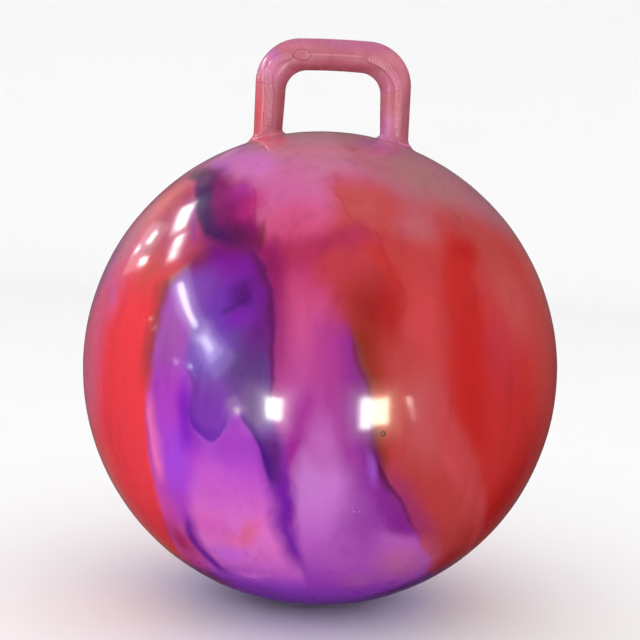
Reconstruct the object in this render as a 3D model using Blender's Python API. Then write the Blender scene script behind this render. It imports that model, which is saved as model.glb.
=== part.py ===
"""Inflatable hopper ball with a hollow loop handle and a push-in air valve.

Metres, +Z up. The origin is the middle of the flat patch that the ball stands on.
+X runs along the handle's grip, and the valve is on the +Y side, behind the handle.
"""

import math

import bmesh
import bpy
from mathutils import Vector

# ---------------------------------------------------------------- driving dimensions
BALL_RADIUS = 0.2250  # a 450 mm ball
SKIN = 0.0009  # wall of the ball
PATCH_RADIUS = 0.0300  # flat patch where the soft ball sits on the floor
BALL_SEGMENTS = 48
BALL_RINGS = 24
GAP = 0.0003  # between faces that meet

# Handle, seen from the front, measured from the ball's centre
HANDLE_HALF_WIDTH = 0.0732
CORNER_OUT = (0.0312, 0.2684, 0.0420)  # x, z and radius of the outer corner
CORNER_IN = (0.0247, 0.2610, 0.0200)  # the same for the inner corner
GRIP_ARCH = 0.0006  # rise of the grip's middle above its ends
LEG_IN_BASE = 0.0461  # inner side of a leg at its root
LEG_IN_BASE_Z = 0.2200
GRIP_DEPTH = 0.0150  # half depths, front to back
CORNER_DEPTH = 0.0154
LEG_DEPTH = 0.0130
HANDLE_WALL = 0.0022
ROOT_FILLET = 0.0055  # fillet in front, behind and between the legs
ROOT_FLARE = 0.0085  # wider fillet on the outer side of each leg
ROOT_EDGE = 0.0006  # thickness left at the flare's edge
HANDLE_SIDES = 24

# Valve
VALVE_TILT = math.radians(38.0)  # from the top of the ball towards the back
NECK_RADIUS = 0.0062
NECK_LENGTH = 0.0180
BORE_RADIUS = 0.0040
FLANGE_RADIUS = 0.0125
FLANGE_HEIGHT = 0.0019
RECESS_RADIUS = 0.0074
RECESS_FLOOR = 0.0008
PLUG_HEAD_RADIUS = 0.0069
PLUG_HEAD_TOP = 0.0031
PLUG_SHANK_RADIUS = 0.0036
PLUG_BARB_RADIUS = 0.00384
PLUG_LENGTH = 0.0170
VALVE_SIDES = 24

BALL_CENTRE_Z = math.sqrt(BALL_RADIUS**2 - PATCH_RADIUS**2)

for old in list(bpy.data.objects):
    bpy.data.objects.remove(old, do_unlink=True)


# ---------------------------------------------------------------- helpers
def material(name, colour, roughness):
    made = bpy.data.materials.new(name)
    made.use_nodes = True
    shader = made.node_tree.nodes["Principled BSDF"]
    shader.inputs["Base Color"].default_value = (*colour, 1.0)
    shader.inputs["Roughness"].default_value = roughness
    shader.inputs["Metallic"].default_value = 0.0
    return made


def add_object(name, bm, mat=None, parent=None, sharp=40.0):
    mesh = bpy.data.meshes.new(name)
    bm.to_mesh(mesh)
    bm.free()
    mesh.shade_smooth()
    mesh.set_sharp_from_angle(angle=math.radians(sharp))
    obj = bpy.data.objects.new(name, mesh)
    bpy.context.scene.collection.objects.link(obj)
    if mat:
        mesh.materials.append(mat)
    if parent:
        obj.parent = parent
    return obj


def as_cutter(obj):
    obj.hide_render = True
    obj.display_type = "WIRE"
    return obj


def turned(profile, sides, closed):
    """A profile of (radius, height) points spun about Z. Points on the axis become poles."""
    bm = bmesh.new()
    verts = [bm.verts.new((r, 0.0, z)) for r, z in profile]
    edges = [bm.edges.new(pair) for pair in zip(verts, verts[1:])]
    if closed:
        edges.append(bm.edges.new((verts[-1], verts[0])))
    bmesh.ops.spin(
        bm,
        geom=verts + edges,
        cent=(0, 0, 0),
        axis=(0, 0, 1),
        angle=2 * math.pi,
        steps=sides,
        use_merge=True,
    )
    bmesh.ops.remove_doubles(bm, verts=bm.verts, dist=1e-6)
    bmesh.ops.recalc_face_normals(bm, faces=bm.faces)
    return bm


def ball_height(x, y, radius=BALL_RADIUS):
    """Height of the ball's surface above its centre, over the point (x, y)."""
    return math.sqrt(radius**2 - x * x - y * y)


# ---------------------------------------------------------------- materials
marbled_pvc = material("marbled_pvc", (0.52, 0.05, 0.12), 0.18)
handle_pvc = material("handle_pvc", (0.50, 0.13, 0.18), 0.30)
seat_pvc = material("seat_pvc", (0.42, 0.06, 0.12), 0.35)
plug_pvc = material("plug_pvc", (0.80, 0.78, 0.74), 0.40)

centre = bpy.data.objects.new("ball_centre", None)
centre.location = (0, 0, BALL_CENTRE_Z)
bpy.context.scene.collection.objects.link(centre)

valve_frame = bpy.data.objects.new("valve_frame", None)
valve_frame.parent = centre
valve_frame.rotation_euler = (-VALVE_TILT, 0, 0)
valve_frame.location = Vector((0, math.sin(VALVE_TILT), math.cos(VALVE_TILT))) * BALL_RADIUS
bpy.context.scene.collection.objects.link(valve_frame)


# ---------------------------------------------------------------- ball skin
def ball_profile():
    """From the top, down the outside, to the middle of the flat patch. One ring lies on the equator."""
    patch = math.acos(-BALL_CENTRE_Z / BALL_RADIUS)  # polar angle of the patch's rim
    upper = BALL_RINGS // 2
    points = [
        (BALL_RADIUS * math.sin(a), BALL_RADIUS * math.cos(a))
        for a in (math.pi / 2 * k / upper for k in range(upper + 1))
    ]
    for k in range(1, upper):
        a = math.pi / 2 + (patch - math.pi / 2) * k / (upper - 1)
        points.append((BALL_RADIUS * math.sin(a), BALL_RADIUS * math.cos(a)))
    points[0] = (0.0, BALL_RADIUS)
    points[upper] = (BALL_RADIUS, 0.0)
    points[-1] = (PATCH_RADIUS, -BALL_CENTRE_Z)
    points.append((0.0, -BALL_CENTRE_Z))
    return points


ball_shell = add_object(
    "ball_shell", turned(ball_profile(), BALL_SEGMENTS, False), marbled_pvc, centre
)
wall = ball_shell.modifiers.new("skin", "SOLIDIFY")
wall.thickness = SKIN
wall.offset = -1.0
wall.use_even_offset = True


# ---------------------------------------------------------------- handle
def ring_points(station, inset=0.0):
    """One cross-section of the handle: an ellipse between its outer and inner side."""
    (ox, oz), (ix, iz), depth = station
    mid = Vector(((ox + ix) / 2, 0, (oz + iz) / 2))
    out = Vector(((ox - ix) / 2, 0, (oz - iz) / 2))
    half = out.length
    out.normalize()
    return [
        mid
        + out * (half - inset) * math.cos(t)
        + Vector((0, 1, 0)) * (depth - inset) * math.sin(t)
        for t in (2 * math.pi * k / HANDLE_SIDES for k in range(HANDLE_SIDES))
    ]


def leg_inner(z):
    """Inner side of the right leg at a height: it leans in from its root to the corner."""
    top_x, top_z = CORNER_IN[0] + CORNER_IN[2], CORNER_IN[1]
    share = (z - LEG_IN_BASE_Z) / (top_z - LEG_IN_BASE_Z)
    return LEG_IN_BASE + (top_x - LEG_IN_BASE) * share


def half_stations():
    """Cross-sections of the right half, from the grip's middle to the top of the root."""
    cox, coz, co = CORNER_OUT
    cix, ciz, ci = CORNER_IN
    stations = []
    for share in (0.0, 0.5):
        rise = GRIP_ARCH * (1 - share * share)
        stations.append(
            (
                (cox * share, coz + co + rise),
                (cix * share, ciz + ci + rise),
                GRIP_DEPTH,
            )
        )
    for k in range(7):
        a = math.pi / 2 * (1 - k / 6)
        depth = CORNER_DEPTH + (GRIP_DEPTH - CORNER_DEPTH) * math.cos(2 * a - math.pi / 2) ** 2
        stations.append(
            (
                (cox + co * math.cos(a), coz + co * math.sin(a)),
                (cix + ci * math.cos(a), ciz + ci * math.sin(a)),
                depth,
            )
        )
    z = 0.2460
    stations.append(((HANDLE_HALF_WIDTH, z), (leg_inner(z), z), 0.0140))
    return stations


ROOT_MID = (HANDLE_HALF_WIDTH + LEG_IN_BASE) / 2
ROOT_HALF = (HANDLE_HALF_WIDTH - LEG_IN_BASE) / 2


def root_fillet(t):
    return ROOT_FILLET + (ROOT_FLARE - ROOT_FILLET) * max(0.0, math.cos(t)) ** 2


def root_ring(spread, rise):
    """A ring round the right leg's root. spread widens it by a share of the fillet, rise lifts it."""
    points = []
    for k in range(HANDLE_SIDES):
        t = 2 * math.pi * k / HANDLE_SIDES
        more = root_fillet(t) * spread
        x = ROOT_MID + (ROOT_HALF + more) * math.cos(t)
        y = (LEG_DEPTH + more) * math.sin(t)
        lift = max(root_fillet(t) * rise, 0.0)
        points.append(Vector((x, y, ball_height(x, y, BALL_RADIUS + GAP) + lift)))
    return points


def bore_ring():
    points = []
    for k in range(HANDLE_SIDES):
        t = 2 * math.pi * k / HANDLE_SIDES
        x = ROOT_MID + (ROOT_HALF - HANDLE_WALL) * math.cos(t)
        y = (LEG_DEPTH - HANDLE_WALL) * math.sin(t)
        points.append(Vector((x, y, ball_height(x, y, BALL_RADIUS + GAP))))
    return points


def handle_loops():
    """All rings of one closed skin: out along the right half, back through the bore, and mirrored."""
    stations = half_stations()
    outer = [ring_points(s) for s in stations]
    for beta in (0, 22, 45, 66):
        b = math.radians(beta)
        outer.append(root_ring(1 - math.cos(b), 1 - math.sin(b)))
    edge = root_ring(0.80, 0.0)
    outer.append([p + Vector((0, 0, ROOT_EDGE)) for p in edge])
    under = [edge, root_ring(0.40, 0.0), root_ring(0.05, 0.0)]
    inner = [bore_ring()] + [ring_points(s, HANDLE_WALL) for s in reversed(stations)]
    right = outer + under + inner
    left = [[Vector((-p.x, p.y, p.z)) for p in ring] for ring in reversed(right)]
    # the two middle rings of the grip are shared by both halves
    return right + left[1:-1]


def handle_mesh():
    bm = bmesh.new()
    rings = [[bm.verts.new(p) for p in ring] for ring in handle_loops()]
    for ring, following in zip(rings, rings[1:] + rings[:1]):
        for k in range(HANDLE_SIDES):
            n = (k + 1) % HANDLE_SIDES
            bm.faces.new((ring[k], ring[n], following[n], following[k]))
    bmesh.ops.recalc_face_normals(bm, faces=bm.faces)
    return bm


handle = add_object("handle", handle_mesh(), handle_pvc, centre)


# ---------------------------------------------------------------- valve seat and plug
def sag(r):
    """How far the ball's surface falls away at a distance from the valve's axis."""
    return BALL_RADIUS - math.sqrt(BALL_RADIUS**2 - r * r)


seat_profile = [
    (RECESS_RADIUS, FLANGE_HEIGHT),
    (FLANGE_RADIUS - 0.0022, FLANGE_HEIGHT - 0.0002),
    (FLANGE_RADIUS - 0.0006, FLANGE_HEIGHT - 0.0009),
    (FLANGE_RADIUS, GAP + 0.0004 - sag(FLANGE_RADIUS)),
    (FLANGE_RADIUS, GAP - sag(FLANGE_RADIUS)),
    (NECK_RADIUS, GAP - sag(NECK_RADIUS)),
    (NECK_RADIUS, -NECK_LENGTH + 0.0016),
    (NECK_RADIUS - 0.0008, -NECK_LENGTH),
    (BORE_RADIUS, -NECK_LENGTH),
    (BORE_RADIUS, RECESS_FLOOR - 0.0005),
    (BORE_RADIUS + 0.0005, RECESS_FLOOR),
    (RECESS_RADIUS - 0.0002, RECESS_FLOOR),
]
valve_seat = add_object(
    "valve_seat", turned(seat_profile, VALVE_SIDES, True), seat_pvc, valve_frame
)


def plug_profile():
    under = RECESS_FLOOR + GAP
    points = [
        (0.0, PLUG_HEAD_TOP),
        (PLUG_HEAD_RADIUS * 0.55, PLUG_HEAD_TOP - 0.00015),
        (PLUG_HEAD_RADIUS * 0.88, PLUG_HEAD_TOP - 0.0006),
        (PLUG_HEAD_RADIUS, PLUG_HEAD_TOP - 0.0013),
        (PLUG_HEAD_RADIUS, under),
        (PLUG_SHANK_RADIUS, under),
    ]
    for ring in range(3):
        z = -0.0040 - 0.0040 * ring
        points += [
            (PLUG_SHANK_RADIUS, z + 0.0004),
            (PLUG_BARB_RADIUS, z),
            (PLUG_SHANK_RADIUS - 0.0001, z - 0.0012),
        ]
    points += [
        (PLUG_SHANK_RADIUS - 0.0002, -PLUG_LENGTH + 0.0018),
        (PLUG_SHANK_RADIUS * 0.62, -PLUG_LENGTH + 0.0004),
        (0.0, -PLUG_LENGTH),
    ]
    return points


valve_plug = add_object(
    "valve_plug", turned(plug_profile(), VALVE_SIDES, False), plug_pvc, valve_frame
)


# ---------------------------------------------------------------- openings in the ball's skin
def round_cutter(name, radius_x, radius_y, low, high, parent, location=(0, 0, 0), sides=24):
    bm = bmesh.new()
    bmesh.ops.create_cone(
        bm,
        cap_ends=True,
        segments=sides,
        radius1=1.0,
        radius2=1.0,
        depth=high - low,
    )
    for v in bm.verts:
        v.co = Vector((v.co.x * radius_x, v.co.y * radius_y, v.co.z + (high + low) / 2))
    obj = as_cutter(add_object(name, bm, None, parent))
    obj.location = location
    return obj


port_z = ball_height(ROOT_MID, 0.0)
cutters = [
    round_cutter(
        f"port_cutter_{side}",
        ROOT_HALF - HANDLE_WALL,
        LEG_DEPTH - HANDLE_WALL,
        -0.012,
        0.012,
        centre,
        (sign * ROOT_MID, 0, port_z),
    )
    for side, sign in (("left", -1), ("right", 1))
]
cutters.append(
    round_cutter(
        "valve_cutter",
        NECK_RADIUS + GAP,
        NECK_RADIUS + GAP,
        -0.010,
        0.010,
        valve_frame,
        sides=VALVE_SIDES,
    )
)
for cutter in cutters:
    cut = ball_shell.modifiers.new(cutter.name, "BOOLEAN")
    cut.operation = "DIFFERENCE"
    cut.solver = "EXACT"
    cut.object = cutter
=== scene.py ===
"""Looks of the inflatable hopper ball: marbled vinyl skin, moulded loop handle, valve and plug."""

import math

import bmesh
import bpy
from mathutils import Matrix, Vector, noise


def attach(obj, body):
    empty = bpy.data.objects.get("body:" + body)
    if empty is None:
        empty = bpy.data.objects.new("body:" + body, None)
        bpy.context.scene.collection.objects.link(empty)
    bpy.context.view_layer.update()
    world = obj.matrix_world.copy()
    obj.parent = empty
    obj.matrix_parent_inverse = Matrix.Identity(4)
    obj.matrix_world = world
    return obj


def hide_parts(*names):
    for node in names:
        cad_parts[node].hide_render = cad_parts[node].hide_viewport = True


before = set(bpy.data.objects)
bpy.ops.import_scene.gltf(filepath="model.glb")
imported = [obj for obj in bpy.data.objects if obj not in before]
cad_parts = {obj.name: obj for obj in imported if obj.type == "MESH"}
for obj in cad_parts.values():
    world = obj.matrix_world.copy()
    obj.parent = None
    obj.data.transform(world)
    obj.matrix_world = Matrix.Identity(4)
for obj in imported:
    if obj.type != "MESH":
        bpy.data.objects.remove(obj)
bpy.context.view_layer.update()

# ---------------------------------------------------------------- sizes, as in the CAD (metres)
R = 0.2250
PATCH = 0.0300
ZC = math.sqrt(R * R - PATCH * PATCH)
CENTRE = Vector((0, 0, ZC))
SKIN = 0.0009

HALF_WIDTH = 0.0732
CORNER_OUT = (0.0312, 0.2684, 0.0420)
CORNER_IN = (0.0247, 0.2610, 0.0200)
GRIP_ARCH = 0.0006
LEG_IN_BASE, LEG_IN_BASE_Z = 0.0461, 0.2200
LEG_LOW = 0.2460
GRIP_DEPTH, CORNER_DEPTH, LEG_DEPTH = 0.0150, 0.0154, 0.0130
WALL = 0.0022
ROOT_FILLET, ROOT_FLARE = 0.0055, 0.0085
ROOT_MID = (HALF_WIDTH + LEG_IN_BASE) / 2
ROOT_HALF = (HALF_WIDTH - LEG_IN_BASE) / 2

TILT = math.radians(38.0)
VALVE_AXIS = Vector((0, math.sin(TILT), math.cos(TILT)))
VALVE = Matrix.Translation(CENTRE + VALVE_AXIS * R) @ Matrix.Rotation(-TILT, 4, "X")
NECK = 0.0062
NECK_LENGTH = 0.0180
BORE = 0.0040

scene = bpy.context.scene
scene.view_settings.view_transform = "Standard"
scene.view_settings.look = "None"


# ---------------------------------------------------------------- mesh helpers
def smoothstep(x, low, high):
    t = min(max((x - low) / (high - low), 0.0), 1.0)
    return t * t * (3 - 2 * t)


def piece(name, verts, faces, mat, body, node, slot):
    mesh = bpy.data.meshes.new(name)
    mesh.from_pydata([tuple(v) for v in verts], [], faces)
    mesh.validate()
    bm = bmesh.new()
    bm.from_mesh(mesh)
    bmesh.ops.recalc_face_normals(bm, faces=bm.faces)
    bm.to_mesh(mesh)
    bm.free()
    mesh.shade_smooth()
    mesh.materials.append(mat)
    obj = bpy.data.objects.new(name, mesh)
    scene.collection.objects.link(obj)
    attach(obj, body)
    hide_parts(node)
    return obj


def grid_faces(rings, sides, closed_path):
    faces = []
    for i in range(rings if closed_path else rings - 1):
        a, b = i * sides, ((i + 1) % rings) * sides
        for k in range(sides):
            n = (k + 1) % sides
            faces.append((a + k, a + n, b + n, b + k))
    return faces


# ---------------------------------------------------------------- shader helpers
def srgb(r, g, b):
    def one(c):
        c /= 255
        return c / 12.92 if c <= 0.04045 else ((c + 0.055) / 1.055) ** 2.4

    return (one(r), one(g), one(b), 1.0)


GAIN, VEIL = 1.0, 0.0  # how the studio light brightens a pigment, and the haze that gloss lays over it


def pigment(r, g, b):
    """The paint that looks like this colour in the studio light."""
    return tuple(min(max((c - VEIL) / GAIN, 0.0012), 0.95) for c in srgb(r, g, b)[:3]) + (1.0,)


class Graph:
    """Writes a node tree as expressions. A value is a number, a tuple or another node's output."""

    def __init__(self, name):
        self.mat = bpy.data.materials.new(name)
        self.mat.use_nodes = True
        self.tree = self.mat.node_tree
        self.shader = self.tree.nodes["Principled BSDF"]

    def put(self, socket, value):
        if isinstance(value, bpy.types.NodeSocket):
            self.tree.links.new(value, socket)
        elif value is not None:
            socket.default_value = value

    def new(self, kind, **settings):
        node = self.tree.nodes.new(kind)
        for key, value in settings.items():
            setattr(node, key, value)
        return node

    def math(self, op, a, b=None, c=None, clamp=False):
        node = self.new("ShaderNodeMath", operation=op, use_clamp=clamp)
        for socket, value in zip(node.inputs, (a, b, c)):
            self.put(socket, value)
        return node.outputs[0]

    def add(self, a, b):
        return self.math("ADD", a, b)

    def sub(self, a, b):
        return self.math("SUBTRACT", a, b)

    def mul(self, a, b):
        return self.math("MULTIPLY", a, b)

    def mul_add(self, a, b, c):
        return self.math("MULTIPLY_ADD", a, b, c)

    def vec(self, op, a, b=None, scale=None):
        node = self.new("ShaderNodeVectorMath", operation=op)
        self.put(node.inputs[0], a)
        if b is not None:
            self.put(node.inputs[1], b)
        if scale is not None:
            self.put(node.inputs["Scale"], scale)
        return node.outputs["Value" if op in ("LENGTH", "DISTANCE", "DOT_PRODUCT") else "Vector"]

    def split(self, vector):
        node = self.new("ShaderNodeSeparateXYZ")
        self.put(node.inputs[0], vector)
        return node.outputs[0], node.outputs[1], node.outputs[2]

    def join(self, x, y, z):
        node = self.new("ShaderNodeCombineXYZ")
        for socket, value in zip(node.inputs, (x, y, z)):
            self.put(socket, value)
        return node.outputs[0]

    def fade(self, x, low, high, to_low=0.0, to_high=1.0):
        node = self.new("ShaderNodeMapRange", interpolation_type="SMOOTHSTEP")
        node.clamp = False  # a smooth step stays in its range by itself
        for key, value in (
            ("Value", x),
            ("From Min", low),
            ("From Max", high),
            ("To Min", to_low),
            ("To Max", to_high),
        ):
            self.put(node.inputs[key], value)
        return node.outputs[0]

    def curve(self, x, points):
        node = self.new("ShaderNodeFloatCurve")
        line = node.mapping.curves[0]
        points = sorted(points)
        if len(points) == 1:
            points = [points[0], (points[0][0] + 0.01, points[0][1])]
        line.points[0].location, line.points[1].location = points[0], points[-1]
        for p in points[1:-1]:
            line.points.new(*p)
        for p in line.points:
            p.handle_type = "AUTO_CLAMPED"
        node.mapping.extend = "HORIZONTAL"
        node.mapping.update()
        self.put(node.inputs["Value"], x)
        return node.outputs[0]

    def noise(self, vector, scale, detail=2.0, rough=0.5, distortion=0.0, colour=False):
        node = self.new("ShaderNodeTexNoise")
        self.put(node.inputs["Vector"], vector)
        node.inputs["Scale"].default_value = scale
        node.inputs["Detail"].default_value = detail
        node.inputs["Roughness"].default_value = rough
        node.inputs["Distortion"].default_value = distortion
        return node.outputs["Color" if colour else "Fac"]

    def mix(self, factor, a, b, blend="MIX"):
        node = self.new("ShaderNodeMix", data_type="RGBA", blend_type=blend)
        node.clamp_factor = True
        self.put(node.inputs[0], factor)
        self.put(node.inputs[6], a)
        self.put(node.inputs[7], b)
        return node.outputs[2]

    def ramp(self, x, stops):
        """stops is [(place from 0 to 1, colour)], blended smoothly."""
        node = self.new("ShaderNodeValToRGB")
        ramp = node.color_ramp
        ramp.interpolation = "CARDINAL"
        stops = sorted(stops)
        ramp.elements[0].position, ramp.elements[0].color = stops[0]
        ramp.elements[1].position, ramp.elements[1].color = stops[-1]
        for place, colour in stops[1:-1]:
            e = ramp.elements.new(place)
            e.color = colour
        self.put(node.inputs[0], x)
        return node.outputs[0]

    def bump(self, height, strength, distance, normal=None):
        node = self.new("ShaderNodeBump")
        node.inputs["Strength"].default_value = strength
        node.inputs["Distance"].default_value = distance
        self.put(node.inputs["Height"], height)
        if normal is not None:
            self.put(node.inputs["Normal"], normal)
        return node.outputs[0]


class Marble:
    """Pigment laid over pigment on the ball. Places are azimuth and latitude in degrees: azimuth 0 is the front and
    grows to the right; latitude 90 is the top. A softness is half the width over which an edge fades."""

    def __init__(self, g):
        self.g = g
        here = g.new("ShaderNodeTexCoord").outputs["Object"]
        self.flat = g.vec("SUBTRACT", here, tuple(CENTRE))
        # the pattern stands two degrees off the upright
        upright = g.vec("NORMALIZE", self.flat)
        lean = g.new("ShaderNodeMapping", vector_type="POINT")
        g.put(lean.inputs["Vector"], upright)
        lean.inputs["Rotation"].default_value = (math.radians(-2.0), 0, 0)
        self.dir = lean.outputs[0]
        x, y, z = g.split(self.dir)
        lat = g.mul(g.math("ARCSINE", z), 180 / math.pi)
        front = g.mul(g.math("ARCTAN2", x, g.mul(y, -1.0)), 180 / math.pi)
        back = g.mul(g.math("ARCTAN2", g.mul(x, -1.0), y), 180 / math.pi)
        # pigment drifts while the vinyl runs in the mould: three sizes of drift, the finer ones drawn out downwards
        broad = g.noise(self.dir, 2.6, 2.0, colour=True)
        drawn = g.vec("MULTIPLY", self.dir, (1.0, 1.0, 0.35))
        fine = g.noise(drawn, 11.0, 2.0, 0.5, colour=True)
        wisp = g.noise(drawn, 34.0, 2.0, 0.5, colour=True)
        bx, by, _ = g.split(broad)
        fx, fy, _ = g.split(fine)
        wx, wy, _ = g.split(wisp)
        stretch = g.math("DIVIDE", 1.0, g.math("MAXIMUM", g.math("COSINE", g.math("ARCSINE", z)), 0.3))
        side = g.add(
            g.add(g.mul_add(bx, 2.2, -1.1), g.mul_add(fx, 2.6, -1.3)), g.mul_add(wx, 0.9, -0.45)
        )
        rise = g.add(
            g.add(g.mul_add(by, 2.2, -1.1), g.mul_add(fy, 2.2, -1.1)), g.mul_add(wy, 0.8, -0.4)
        )
        self.lat = g.add(lat, rise)
        side = g.mul(side, stretch)
        roam = g.mul(g.add(g.mul_add(bx, 15.0, -7.5), g.mul_add(fx, 1.6, -0.8)), stretch)
        self.azimuth = {"front": g.add(front, side), "back": g.add(back, roam)}
        self.lat_share = g.mul_add(self.lat, 1 / 180, 0.5)
        self.share = {k: g.mul_add(v, 1 / 360, 0.5) for k, v in self.azimuth.items()}
        self.streak = g.noise(g.vec("MULTIPLY", self.dir, (1.0, 1.0, 0.14)), 17.0, 3.0, 0.55)
        self.cloud = g.noise(self.dir, 5.0, 3.0, 0.5)
        self.kept = {}
        self.colour = None

    def lay(self, mask, colour, strength=1.0):
        if strength != 1.0:
            mask = self.g.mul(mask, strength)
        self.colour = self.g.mix(mask, self.colour, pigment(*colour) if isinstance(colour, tuple) else colour)

    def between(self, mask, top, bottom):
        """Fades a mask out above top and below bottom, each (latitude, softness) or None."""
        g = self.g
        if top:
            mask = g.mul(mask, g.fade(self.lat, top[0] + top[1], top[0] - top[1]))
        if bottom:
            mask = g.mul(mask, g.fade(self.lat, bottom[0] - bottom[1], bottom[0] + bottom[1]))
        return mask

    def beside(self, mask, left, right, side):
        """Fades a mask out left of left and right of right, each (azimuth, softness) or None."""
        g = self.g
        if left:
            mask = g.mul(mask, g.fade(self.azimuth[side], left[0] - left[1], left[0] + left[1]))
        if right:
            mask = g.mul(mask, g.fade(self.azimuth[side], right[0] + right[1], right[0] - right[1]))
        return mask

    def down(self, path):
        """A line of (latitude, azimuth) points as a share of the turn."""
        key = ("down", tuple(path))
        if key not in self.kept:
            self.kept[key] = self.g.curve(self.lat_share, [(p / 180 + 0.5, a / 360 + 0.5) for p, a in path])
        return self.kept[key]

    def over(self, path, side):
        """A line of (azimuth, latitude) points as a share of the half turn."""
        key = (side, tuple(path))
        if key not in self.kept:
            self.kept[key] = self.g.curve(self.share[side], [(a / 360 + 0.5, p / 180 + 0.5) for a, p in path])
        return self.kept[key]

    def band(self, left, right, soft=(2, 2), top=None, bottom=None, side="front"):
        """Between a left and a right line of (latitude, azimuth) points. Either may be None."""
        g = self.g
        mask = None
        if left:
            mask = g.fade(g.sub(self.share[side], self.down(left)), -soft[0] / 360, soft[0] / 360)
        if right:
            m = g.fade(g.sub(self.share[side], self.down(right)), soft[1] / 360, -soft[1] / 360)
            mask = g.mul(mask, m) if mask is not None else m
        return self.between(mask, top, bottom)

    def above(self, path, soft, left=None, right=None, side="front"):
        """Above a line of (azimuth, latitude) points."""
        g = self.g
        off = g.sub(self.lat_share, self.over(path, side))
        return self.beside(g.fade(off, -soft / 180, soft / 180), left, right, side)

    def _stroke(self, off, half, soft, along, turn):
        g = self.g
        low, high = soft if isinstance(soft, tuple) else (soft, soft)
        if isinstance(half, list):
            scale = 180 if along is self.lat_share else 360
            h = g.mul(g.curve(along, [(p / scale + 0.5, v / 40) for p, v in half]), 40 / turn)
            a = g.fade(g.add(off, h), -low / turn, low / turn)
            b = g.fade(g.sub(h, off), -high / turn, high / turn)
        else:
            a = g.fade(off, (-half - low) / turn, (-half + low) / turn)
            b = g.fade(off, (half + high) / turn, (half - high) / turn)
        return g.mul(a, b)

    def stroke(self, path, half, soft, top=None, bottom=None, side="front"):
        """A run up and down along (latitude, azimuth) points. half is a number or [(latitude, half width)], soft a
        number or (left, right)."""
        off = self.g.sub(self.share[side], self.down(path))
        return self.between(self._stroke(off, half, soft, self.lat_share, 360), top, bottom)

    def across(self, path, half, soft, left=None, right=None, side="front"):
        """A run sideways along (azimuth, latitude) points. half is a number or [(azimuth, half width)], soft a number
        or (below, above)."""
        off = self.g.sub(self.lat_share, self.over(path, side))
        return self.beside(self._stroke(off, half, soft, self.share[side], 180), left, right, side)

    def blob(self, azimuth, lat, a, b, turn=0.0, soft=0.8, side="front"):
        """An oval patch. soft is the share of its size over which it fades."""
        g = self.g
        c, s = math.cos(math.radians(turn)), math.sin(math.radians(turn))
        x, y = self.azimuth[side], self.lat
        u = g.mul_add(x, c / a, g.mul_add(y, s / a, -(azimuth * c + lat * s) / a))
        v = g.mul_add(x, -s / b, g.mul_add(y, c / b, (azimuth * s - lat * c) / b))
        return g.fade(g.math("SQRT", g.mul_add(u, u, g.mul(v, v))), 1 + soft, 1 - soft)


def vinyl(name, roughness, specular=0.5):
    g = Graph(name)
    g.shader.inputs["Metallic"].default_value = 0.0
    g.shader.inputs["IOR"].default_value = 1.5
    g.shader.inputs["Specular IOR Level"].default_value = specular
    g.shader.inputs["Roughness"].default_value = roughness
    return g


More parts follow.
